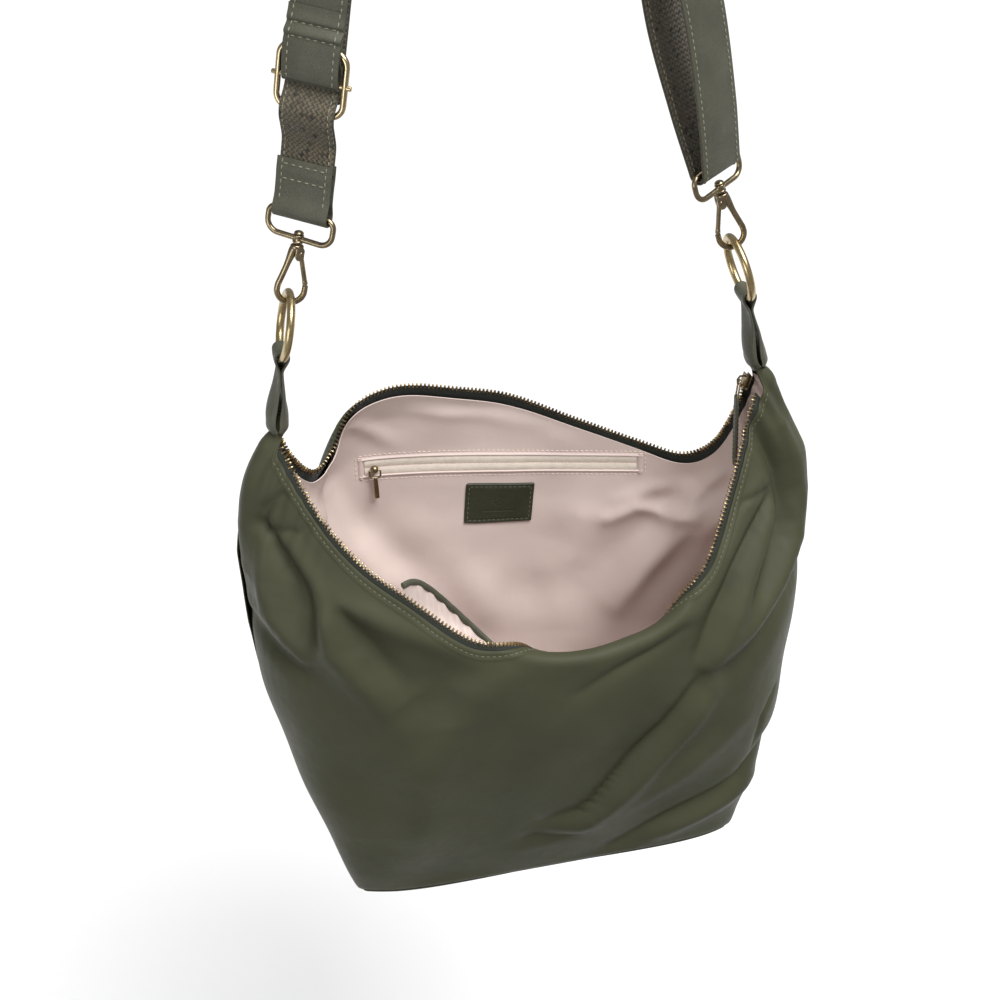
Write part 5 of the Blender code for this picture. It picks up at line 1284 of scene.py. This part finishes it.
def build_loop(side, word, bar, chain):
    """D-loop on the strap, with the collar that its swivel post turns in, and the post."""
    loop_axes = turned(chain, side * STRAP_TWIST)
    body = body_of(word + "_d_loop")
    path = rounded_rectangle(LOOP_HALF_WIDTH, 0, -LOOP_HEIGHT, *LOOP_CORNERS)
    piece = rod(word + "_loop_wire", path, LOOP_WIRE, bar, loop_axes, ANTIQUE_METAL, body,
                closed=True)
    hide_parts(word + "_d_loop")
    low_bar = bar - chain[2] * LOOP_HEIGHT
    collar = [(0, -2.6), (3.3, -2.6), (3.3, -1.4), (2.9, -1.0), (2.9, 1.0), (3.3, 1.4), (3.3, 2.6), (0, 2.6)]
    lathe(word + "_loop_collar", round_profile(collar), low_bar, chain,
          ANTIQUE_METAL, body)
    post = [(0, -5.8), (1.3, -5.8), (1.3, 2.9), (2.9, 3.0), (3.1, 3.7), (2.0, 4.8), (0, 4.8)]
    piece = lathe(word + "_swivel_pin", round_profile(post), low_bar, chain,
                  ANTIQUE_METAL, body_of(word + "_swivel_post"), sides=12)
    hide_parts(word + "_swivel_post")
    return low_bar


def build_hook(side, word, low_bar, chain):
    """Swivel hook: head, curved wire that thins from the head, and a sprung gate on a rivet."""
    body, gate_body = body_of(word + "_hook"), body_of(word + "_gate")
    local = chain * np.array(((-side,), (1,), (1,)))
    head = [(0, -3.5), (2.6, -3.5), (3.7, -4.1), (3.9, -5.4), (3.6, -7.2), (0, -7.2)]
    lathe(word + "_hook_head", round_profile(head[::-1], 0.8 * MM), low_bar, chain,
          ANTIQUE_METAL, body, squash=(1.08, 0.9))
    centre_z = -HOOK_DROP + HOOK_RADIUS
    spine = smooth_path(np.array([(-1.0, 0, -5), (-2.4, 0, -9), (-5.2, 0, -20), (-8.1, 0, -30)]) * MM, 24)
    nose = np.array([(8.4 * MM, 0, -NOSE_DROP)])
    path = resample(np.concatenate([spine, arc(0, centre_z, HOOK_RADIUS, 184, 360, 40), nose]), 90)
    along = np.linspace(0, 1, 90)
    root, taper = 1.0 * MM * (1 - smoothstep(along, 0.0, 0.24)), 0.1 * MM * smoothstep(along, 0.9, 1)
    radius = HOOK_WIRE + root - taper
    piece = rod(word + "_hook_bow", path, radius, low_bar, local, ANTIQUE_METAL, body)
    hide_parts(word + "_hook")
    for cheek, y in (("front", -2.7), ("back", 2.7)):
        plate = rounded_rectangle(2.6 * MM, 4.2 * MM, -4.0 * MM, 1.8 * MM, 2.4 * MM, 6)
        middle = np.array((1.9 * MM, y * MM, -9.0 * MM))
        sides = len(plate)
        points = np.concatenate([plate + middle + (0, d * MM, 0) for d in (-0.75, 0.75)])
        inner = np.concatenate([plate * (0.86, 1, 0.9) + middle + (0, d * MM, 0) for d in (-0.95, 0.95)])
        points = np.concatenate([points, inner])
        faces = [(k, (k + 1) % sides, sides + (k + 1) % sides, sides + k) for k in range(sides)]
        faces += [((k + 1) % sides, k, 2 * sides + k, 2 * sides + (k + 1) % sides) for k in range(sides)]
        faces += [(sides + k, sides + (k + 1) % sides, 3 * sides + (k + 1) % sides, 3 * sides + k)
                  for k in range(sides)]
        faces += [tuple(range(2 * sides + sides - 1, 2 * sides - 1, -1)), tuple(range(3 * sides, 4 * sides))]
        add_piece(f"{word}_hook_cheek_{cheek}", low_bar + points @ local, faces, ANTIQUE_METAL, body)
    rivet_at = low_bar + np.array((RIVET_X, 0, -RIVET_DROP)) @ local
    sideways = np.array((local[2], local[0], local[1]))
    rivet = [(0, -4.2), (0.9, -4.2), (1.5, -3.6), (0.9, -3.3), (0.9, 3.3), (1.5, 3.6), (0.9, 4.2), (0, 4.2)]
    piece = lathe(word + "_rivet", round_profile(rivet, 0.3 * MM), rivet_at, sideways, ANTIQUE_METAL,
                  body_of(word + "_gate_rivet"), sides=20)
    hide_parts(word + "_gate_rivet")
    tip = np.array((8.2 * MM - RIVET_X, 0, RIVET_DROP - NOSE_DROP + 1.0 * MM))
    shares = np.linspace(0, 1, 40)
    root, flare = 0.5 * MM * (1 - smoothstep(shares, 0, 0.2)), 0.15 * MM * smoothstep(shares, 0.86, 0.9)
    radius = GATE_WIRE + root + flare
    piece = rod(word + "_gate_arm", shares[:, None] * tip, radius, rivet_at, local, ANTIQUE_METAL, gate_body)
    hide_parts(word + "_gate")

    middle = smooth_path(np.array(LEAF) * MM, 14)
    grid = middle[:, None] + np.linspace(-LEAF_HALF_WIDTH, LEAF_HALF_WIDTH, 4)[None, :, None] * UNIT_Y
    thick = np.array((LEAF_HALF, 0, 0))
    near, far = [(low_bar + (grid + shift).reshape(-1, 3) @ local).reshape(grid.shape)
                 for shift in (thick, -thick)]
    points, faces = closed_sheet(near, far)
    piece = add_piece(word + "_leaf_spring", points, faces, ANTIQUE_METAL, None)
    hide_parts(word + "_gate_spring")
    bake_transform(piece)


def build_ring(word, low_bar, chain):
    centre = low_bar - chain[2] * (HOOK_DROP - RING_SEAT + RING_RADIUS)
    circle = arc(0, 0, RING_RADIUS, 0, 360, 120)[:-1]
    piece = rod(word + "_ring_round", circle, RING_WIRE, centre, turned(chain, math.pi / 2), RING_METAL,
                body_of(word + "_ring"), closed=True, sides=28)
    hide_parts(word + "_ring")
    return centre - chain[2] * RING_RADIUS


def build_end_tab(side, word, ring_bottom):
    """Leather folded round the ring; its layers pinch under it, then open over the bag's tip."""
    down = np.array((side * TIP[0], 0, TIP[1])) - ring_bottom
    lean = math.atan2(down[0], -down[2])
    length = np.linalg.norm(down) + END_TAB_OVERLAP
    eye = RING_WIRE + END_TAB_EYE
    leg = np.linspace(-1, 0, 60)
    turn = np.linspace(0, math.pi, 26)[1:-1]
    columns = np.linspace(-1, 1, 36)
    x = np.concatenate([np.ones(60), np.cos(turn), -np.ones(60)])[:, None]
    z = np.concatenate([leg * length, eye * np.sin(turn), leg[::-1] * length])[:, None]
    y_share = columns[None] * np.ones_like(z)
    below = np.maximum(-z, 0)
    waist = END_TAB_WAIST * np.sin(math.pi * np.clip(below / (26 * MM), 0, 1))
    half = END_TAB_HALF - waist + END_TAB_SPREAD * below / length
    y = half * y_share
    pinch = smoothstep(below, 0, 9.5 * MM)
    spread = eye + (END_TAB_PINCH - eye) * pinch
    bulge = END_TAB_BULGE * smoothstep(below, 10 * MM, length * 0.75) * np.clip(1 - y_share ** 2, 0, 1) ** 0.5
    flare = 0.4 * MM * smoothstep(np.abs(y_share), 0.8, 1.0) * smoothstep(below, 14 * MM, 26 * MM)
    lower = below / length
    hug = 1 - 0.55 * smoothstep(lower, 0.86, 1.0)
    across = x * (spread + bulge + flare) * hug + 0.6 * MM * np.sin(below * 160 + 2 * y_share) * pinch
    rise = RING_RADIUS - np.sqrt(RING_RADIUS ** 2 - y ** 2)
    height = z + rise * np.clip(1 - below / (16 * MM), 0, 1) + 7 * MM * np.abs(y_share) ** 1.6 * lower ** 6
    middle = np.stack([across, y, height * np.ones_like(across)], -1)
    normal = unit(np.cross(np.gradient(middle, axis=0), np.gradient(middle, axis=1)))
    rim_round = np.sqrt(np.clip(1 - (np.clip(np.abs(y_share) - 0.9, 0, 1) / 0.1) ** 2 * 0.8, 0.2, 1))
    offset = normal * (END_TAB_SKIN * rim_round)[..., None]
    world = [ring_bottom + face.reshape(-1, 3) @ axes(lean) for face in (middle + offset, middle - offset)]
    shape = middle.shape
    points, faces = closed_sheet(world[0].reshape(shape), world[1].reshape(shape))
    piece = add_piece(word + "_folded_tab", points, faces, LEATHER_SKIN, "bag")
    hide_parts(word + "_end_tab")


def build_chains():
    for side, word in ((-1, "left"), (1, "right")):
        bar = np.array((side * STRAP_SPREAD, 0, STRAP_BAR_Z))
        chain = axes(side * CHAIN_LEAN)
        low_bar = build_loop(side, word, bar, chain)
        build_hook(side, word, low_bar, chain)
        ring_bottom = build_ring(word, low_bar, chain)
        build_end_tab(side, word, ring_bottom)


# ---------------------------------------------------------------- pockets, patch and pullers

def share_at(side, x, z):
    """The wall's (t, distance below the rim) at given x and z."""
    low, high = np.zeros_like(x), np.ones_like(x)
    for _ in range(32):
        t = (low + high) / 2
        rim_z = rim(side, t)[..., 2]
        v = np.clip((z - rim_z) / (BASE_Z - rim_z), 0, 1)
        left = wall(side, t, v)[..., 0] < x
        low, high = np.where(left, t, low), np.where(left, high, t)
    return t, v * wall_length(side, t)


def on_lining(side, x, z, proud):
    """Point inside the bag, that far off the lining's face."""
    t, s = share_at(side, x, z)
    return cloth(side, t, s, LINING_DEPTH[side] + LINING + proud, LINING_FOLDS[side])


def lining_strip(name, side, x, z, low, high, skin):
    """Closed sheet on the lining over grids of x and z, from one height off it to another."""
    under, over = on_lining(side, x, z, low), on_lining(side, x, z, high)
    columns, rows = x.shape
    along = path_lengths(over[:, rows // 2])[:, None] * np.ones_like(x)
    across = path_lengths(over[columns // 2])[None] * np.ones_like(x)
    uv = np.stack([along, across], -1)
    if side == BACK:
        under, over, uv = under[::-1], over[::-1], uv[::-1]
    points, faces = closed_sheet(under, over)
    return add_piece(name, points, faces, skin, "bag", uv=np.concatenate([uv, uv]))


def lining_stitches(name, side, x, z, pitch=3.4 * MM, skin=BLUSH_THREAD, proud=0.15 * MM):
    on, off = on_lining(side, x, z, proud), on_lining(side, x, z, proud + MM)
    stitch_row(name, on, unit(off - on), skin, "bag", "blush_lining", pitch=pitch, **LINING_STITCHES)


def pocket_xz(share, height):
    """x and z at a share along the pocket's zip and a height above its line."""
    x = POCKET_LEFT[0] + (POCKET_RIGHT[0] - POCKET_LEFT[0]) * share
    z = POCKET_LEFT[1] + (POCKET_RIGHT[1] - POCKET_LEFT[1]) * share
    return x * MM, z * MM + height


def build_zip_pocket():
    a = np.linspace(0, 1, 150)[:, None]
    near, far = POCKET_TAPE_SPAN
    for word, low, high in (("upper", near, far), ("lower", -far, -near)):
        rows = np.linspace(0, 1, 9)[None]
        x, z = pocket_xz(a * np.ones_like(rows), high + (low - high) * rows)
        proud = 0.35 * MM + TAPE_CROWN * np.sin(math.pi * rows)
        piece = lining_strip("zip_cloth_" + word, BACK, x, z, 0.1 * MM, proud, CREAM_TAPE_CLOTH)
        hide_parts("pocket_tape_" + word)
    rows = np.linspace(0, 1, 3)[None]
    x, z = pocket_xz(a * np.ones_like(rows), 0.7 * MM - 1.4 * MM * rows)
    piece = lining_strip("zip_coil", BACK, x, z, 0.05 * MM, 0.25 * MM, BLUSH_THREAD)
    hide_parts("pocket_coil")
    near, far = POCKET_WELT_SPAN
    for word, low, high in (("upper", near, far), ("lower", -far, -near)):
        rows = np.linspace(0, 1, 9)[None]
        share = np.linspace(*POCKET_ENDS, 150)[:, None] * np.ones_like(rows)
        x, z = pocket_xz(share, high + (low - high) * rows)
        inner = rows if word == "upper" else 1 - rows
        proud = 0.15 * MM + 1.0 * MM * np.sin(math.pi * np.clip(inner, 0, 1) ** 2.2 * 0.93) ** 0.8
        lining_strip("pocket_welt_" + word, BACK, x, z, -0.3 * MM, proud, LINING_CLOTH)
    share = np.linspace(*POCKET_ENDS, 400)
    for word, height in (("upper", POCKET_STITCH_LINE), ("lower", -POCKET_STITCH_LINE)):
        lining_stitches("pocket_stitches_" + word, BACK, *pocket_xz(share, height + 0 * share))
    up = np.linspace(-POCKET_END_STITCHES, POCKET_END_STITCHES, 40) * MM
    for word, place in (("left", POCKET_ENDS[0] - 0.012), ("right", POCKET_ENDS[1] + 0.012)):
        lining_stitches("pocket_stitches_" + word, BACK, *pocket_xz(place + 0 * up, up))
    for word, place in (("left", -0.014), ("right", 1.014)):
        rows = np.linspace(0, 1, 14)[None]
        columns = np.linspace(-POCKET_END_HALF, POCKET_END_HALF, 7)[:, None]
        x, z = pocket_xz(place + columns + 0 * rows, (8.4 - 16.8 * rows) * MM + 0 * columns)
        arch = np.sin(math.pi * (columns + POCKET_END_HALF) / (2 * POCKET_END_HALF))
        proud = 0.1 * MM + 0.9 * MM * arch ** 0.8
        lining_strip("pocket_end_" + word, BACK, x, z, -0.3 * MM, proud + 0 * rows, LINING_CLOTH)

    rows, share = np.linspace(0, 1, 24)[None], np.linspace(-0.02, 1.02, 90)[:, None]
    x, z = pocket_xz(share * np.ones_like(rows), 3 * MM - 116 * MM * rows)
    t, s = share_at(BACK, x, z)
    faces_at = [cloth(BACK, t, s, LINING_DEPTH[BACK] - d)[::-1] for d in (1.6 * MM, 1.1 * MM)]
    points, faces = closed_sheet(*faces_at)
    piece = add_piece("pocket_sack", points, faces, LINING_CLOTH, "bag")
    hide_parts("pocket_bag")


def build_patch():
    """Leather patch with rounded corners, a sewn edge and a plain pressed lozenge and line."""
    width, height = PATCH_SIZE
    cosine, sine = math.cos(PATCH_TILT), math.sin(PATCH_TILT)

    def place(across, up):
        return ((PATCH_CENTRE[0] + across * cosine - up * sine) * MM,
                (PATCH_CENTRE[1] + across * sine + up * cosine) * MM)
    u, w = np.linspace(-1, 1, 115)[:, None], np.linspace(1, -1, 75)[None]
    into_corner = np.clip((np.abs(w) * height / 2 - (height / 2 - PATCH_CORNER)) / PATCH_CORNER, 0, 1)
    corner_u = np.sqrt(np.clip(1 - into_corner ** 2, 0, 1))
    across = u * (width / 2 - PATCH_CORNER * (1 - corner_u))
    up = w * height / 2 * np.ones_like(u)
    to_edge = np.minimum(width / 2 - np.abs(across), height / 2 - np.abs(up))
    dome = np.sqrt(np.clip(1 - (np.clip(1 - to_edge / 0.9, 0, 1)) ** 2, 0, 1))
    sewn = 0.35 * np.exp(-((to_edge - PATCH_SEAM) / 0.7) ** 2)
    lozenge = np.exp(-((np.abs(across) * 0.8 + np.abs(up - 1.5) - 4.2) / 0.4) ** 2)
    line = np.exp(-((up + 6.0) / 0.35) ** 2) * (np.abs(across) < 12)
    pressed = 0.3 * np.clip(lozenge + line, 0, 1)
    proud = (0.5 + 1.1 * dome - sewn - pressed) * MM
    x, z = place(across, up)
    piece = lining_strip("stitched_patch", BACK, x, z, 0.1 * MM, proud, PATCH_SKIN)
    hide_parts("leather_patch")
    corners = np.array([(-1, 1), (1, 1), (1, -1), (-1, -1), (-1, 1)])
    corners = corners * (width / 2 - PATCH_SEAM, height / 2 - PATCH_SEAM)
    for k, (start, end) in enumerate(zip(corners, corners[1:])):
        line = start + (end - start) * np.linspace(0, 1, 30)[:, None]
        x, z = place(line[:, 0], line[:, 1])
        lining_stitches(f"patch_stitches_{k}", BACK, x, z, pitch=3.3 * MM, skin=OLIVE_THREAD, proud=1.2 * MM)


SLIP_TOP_AT, SLIP_GAPE_AT = curve(SLIP_TOP), curve(SLIP_GAPE)


def slip_point(a, b, proud):
    """Point on the slip pocket: share a across, share b down, and a height off its own sheet."""
    x = (SLIP_TOP[0][0] + (SLIP_TOP[-1][0] - SLIP_TOP[0][0]) * a) * MM
    top = SLIP_TOP_AT(x / MM) * MM
    z = top + (SLIP_BASE * MM - top) * b
    down = np.maximum(b, 0)
    gape = SLIP_GAPE_AT(a) * MM * (1 - down) ** 2
    tucks = 1.0 * MM * np.sin(2 * math.pi * x / (8.5 * MM) + 1.4 * np.sin(x * 90)) * (1 - down) ** 5
    tucks = tucks * smoothstep(np.minimum(a, 1 - a), 0, 0.06)
    t, _ = share_at(FRONT, x, z)
    under_rim = np.minimum(z, rim(FRONT, t)[..., 2] - 3 * MM)
    point = on_lining(FRONT, x, under_rim, 0.5 * MM + gape + tucks + proud)
    return point + UP * (z - under_rim)[..., None]


def build_slip_pocket():
    a, b = np.linspace(0, 1, 170)[:, None], (np.linspace(0, 1, 50)[None]) ** 1.3
    grid_a, grid_b = a * np.ones_like(b), b * np.ones_like(a)
    points, faces = closed_sheet(slip_point(grid_a, grid_b, 0), slip_point(grid_a, grid_b, 0.6 * MM))
    piece = add_piece("gathered_pocket", points, faces, LINING_CLOTH, "bag")
    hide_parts("slip_pocket")
    a = np.linspace(0, 1, 240)
    middle = slip_point(a, -0.012 + 0 * a, 0.3 * MM)
    smooth = np.stack([np.convolve(np.pad(middle[:, k], 6, mode="edge"), np.ones(13) / 13, "valid")
                       for k in range(3)], -1)
    outward = unit(slip_point(a, 0 * a, 3 * MM) - slip_point(a, 0 * a, 0))
    tangent = unit(np.gradient(smooth, axis=0))
    up = unit(np.cross(tangent, outward))
    up = up * np.sign(up[:, 2:3])
    outward = unit(np.cross(up, tangent))
    outline = circle_outline(1.0, 16) * (1.35 * MM, 2.1 * MM)
    points, faces = sweep(smooth, outward, up, outline)
    piece = add_piece("pocket_edge_binding", points, faces, LEATHER_SKIN, "bag")
    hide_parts("slip_pocket_binding")
    below = slip_point(a, 0.035 + 0 * a, 0.75 * MM)
    off = slip_point(a, 0.035 + 0 * a, 1.75 * MM)
    stitch_row("pocket_elastic_stitches", below, unit(off - below), BLUSH_THREAD, "bag", "blush_lining",
               **SLIP_STITCHES)


def build_main_puller():
    reach = 4.4 * MM
    centre = np.array(PULL_SLIDER) * MM
    hang = centre + np.array((-reach * math.cos(PULL_SLOPE), 0, reach * math.sin(PULL_SLOPE)))
    local = axes(-LINK_LEAN)
    down = np.array((-math.sin(LINK_LEAN), 0, -math.cos(LINK_LEAN)))
    link = rounded_rectangle(2.0 * MM, 0, -LINK_DROP, 1.6 * MM, 1.8 * MM, 6)
    side_on = np.array((local[1], -local[0], local[2]))
    piece = rod("puller_wire_link", link, LINK_WIRE, hang, side_on, ADJUSTER_METAL,
                body_of("main_puller_link"), closed=True, sides=14)
    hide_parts("main_puller_link")
    low = hang + down * LINK_DROP
    rows = np.array([(2.3, 1.5), (2.0, 2.4), (0.8, 2.8), (-1.5, 3.0), (-30, 3.0), (-46, 3.0), (-49, 2.7),
                     (-50, 2.0)])   # height below the link and half width, in millimetres
    heights = np.concatenate([np.linspace(2.3, -2, 8), np.linspace(-3, -46, 30), np.linspace(-47, -50, 7)])
    widths = np.interp(-heights, -rows[:, 0], rows[:, 1])
    centres = low + np.stack([0 * heights, 0 * heights, heights * MM], -1)
    count = len(heights)
    outline = np.array(rounded_outline(1.0, -0.36, 0.36, 5))
    flat = np.tile((0.0, 1.0, 0.0), (count, 1)) * (widths * MM)[:, None]
    points, faces = sweep(centres, flat, np.tile((3.05 * MM, 0.0, 0.0), (count, 1)), outline)
    piece = add_piece("leather_puller", points, faces, LEATHER_SKIN, body_of("main_puller"))
    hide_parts("main_puller")
    for word, x in (("left", -1.0), ("right", 1.0)):
        for row, y in (("a", -1.9), ("b", 1.9)):
            line = low + np.stack([np.full(30, x * 1.12), np.full(30, y), np.linspace(-5, -47, 30)], -1) * MM
            stitch_row(f"puller_stitches_{word}_{row}", line, np.tile((x, 0.0, 0.0), (30, 1)), OLIVE_THREAD,
                       body_of("main_puller"), "olive_leather", **PULLER_STITCHES)


def build_pocket_slider():
    """Ball slider with its hanging loop and bar, on the solids' own places."""
    low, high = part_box("pocket_slider")
    centre = (np.array(low) + np.array(high)) / 2
    angles = np.linspace(0, math.pi, 25)
    ball = [(BALL_RADIUS * math.sin(a), -BALL_RADIUS * math.cos(a)) for a in angles]
    body = body_of("pocket_slider")
    upright = np.eye(3)
    piece = lathe("pocket_slider_ball", ball, centre, upright, ANTIQUE_METAL, body, sides=40)
    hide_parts("pocket_slider")
    pin = centre + np.array(PULL_PIN) * MM
    loop = rounded_rectangle(3.9 * MM, 0.3 * MM, -5.2 * MM, 0.8 * MM, 2.6 * MM, 6)
    body = body_of("pocket_puller")
    piece = rod("pocket_pull_loop", loop, PULL_LOOP_WIRE, pin, upright, ANTIQUE_METAL, body,
                closed=True, sides=14)
    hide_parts("pocket_puller")
    bar = [(0, -21.0), (1.7, -21.0), (1.8, -20.4), (1.55, -6), (1.2, -4.9), (0, -4.6)]
    lathe("pocket_pull_bar", round_profile(bar, 0.6 * MM), pin, upright, ANTIQUE_METAL, body,
          sides=28, squash=(1.0, 0.62))


# ---------------------------------------------------------------- scene

def build_camera():
    """The view a standing person has of the hanging bag, slightly from its left."""
    level_share = math.cos(CAMERA_ELEVATION)
    forward = Vector((-math.sin(CAMERA_AZIMUTH) * level_share, math.cos(CAMERA_AZIMUTH) * level_share,
                      -math.sin(CAMERA_ELEVATION)))
    level = forward.cross(Vector((0, 0, 1))).normalized()
    upright = level.cross(forward)
    right = level * math.cos(CAMERA_ROLL) + upright * math.sin(CAMERA_ROLL)
    up = upright * math.cos(CAMERA_ROLL) - level * math.sin(CAMERA_ROLL)
    data = bpy.data.cameras.new("camera")
    data.sensor_width = SENSOR
    data.lens = LENS
    camera = bpy.data.objects.new("camera", data)
    turn = Matrix((right, up, -forward)).transposed().to_4x4()
    camera.matrix_world = Matrix.Translation(Vector(CAMERA_TARGET) - forward * CAMERA_DISTANCE) @ turn
    bpy.context.collection.objects.link(camera)
    bpy.context.scene.camera = camera


def area_light(name, place, aim, size, power):
    data = bpy.data.lights.new(name, 'AREA')
    data.shape = 'RECTANGLE'
    data.size, data.size_y = size
    data.energy = power
    light = bpy.data.objects.new(name, data)
    light.location = place
    light.rotation_euler = (Vector(aim) - Vector(place)).to_track_quat('-Z', 'Y').to_euler()
    bpy.context.collection.objects.link(light)


def build_studio():
    """Wide floor, a soft high sun that whitens it behind the bag, and lamps from the left and above."""
    angles = 2 * math.pi * np.arange(FLOOR_STEPS) / FLOOR_STEPS
    rim_points = [(FLOOR_RADIUS * math.cos(a), FLOOR_RADIUS * math.sin(a), FLOOR_Z) for a in angles]
    mesh = bpy.data.meshes.new("floor")
    mesh.from_pydata(rim_points, [], [range(FLOOR_STEPS)])
    mesh.materials.append(studio_floor())
    floor = bpy.data.objects.new("floor", mesh)
    bpy.context.collection.objects.link(floor)

    sun = bpy.data.lights.new("sun", 'SUN')
    sun.energy = SUN_POWER
    sun.angle = SUN_SPREAD
    light = bpy.data.objects.new("sun", sun)
    light.rotation_euler = Vector(SUN_DIRECTION).to_track_quat('-Z', 'Y').to_euler()
    bpy.context.collection.objects.link(light)
    for lamp in LAMPS:
        area_light(*lamp)
    world = bpy.data.worlds.new("studio")
    world.use_nodes = True
    world.node_tree.nodes["Background"].inputs["Color"].default_value = (1, 1, 1, 1)
    world.node_tree.nodes["Background"].inputs["Strength"].default_value = SKY_STRENGTH
    bpy.context.scene.world = world
    bpy.context.scene.view_settings.view_transform = 'Standard'


def dress_solids():
    """Metal for the zip's two stops and its slider, the only solids that are shown as they are."""
    for name, obj in frame["nodes"].items():
        obj.data.materials.clear()
        obj.data.materials.append(TOOTH_METAL if name.startswith("zip_stop") else ANTIQUE_METAL)


def build_scene():
    build_camera()
    build_studio()
    dress_solids()
    for word, side in (("front", FRONT), ("back", BACK)):
        build_nylon(word, side)
        build_lining(word, side)
        build_zip(word, side)
    build_base()
    build_strap()
    build_strap_tab()
    build_loop_end()
    build_adjuster()
    build_chains()
    build_zip_pocket()
    build_patch()
    build_slip_pocket()
    build_main_puller()
    build_pocket_slider()


build_scene()
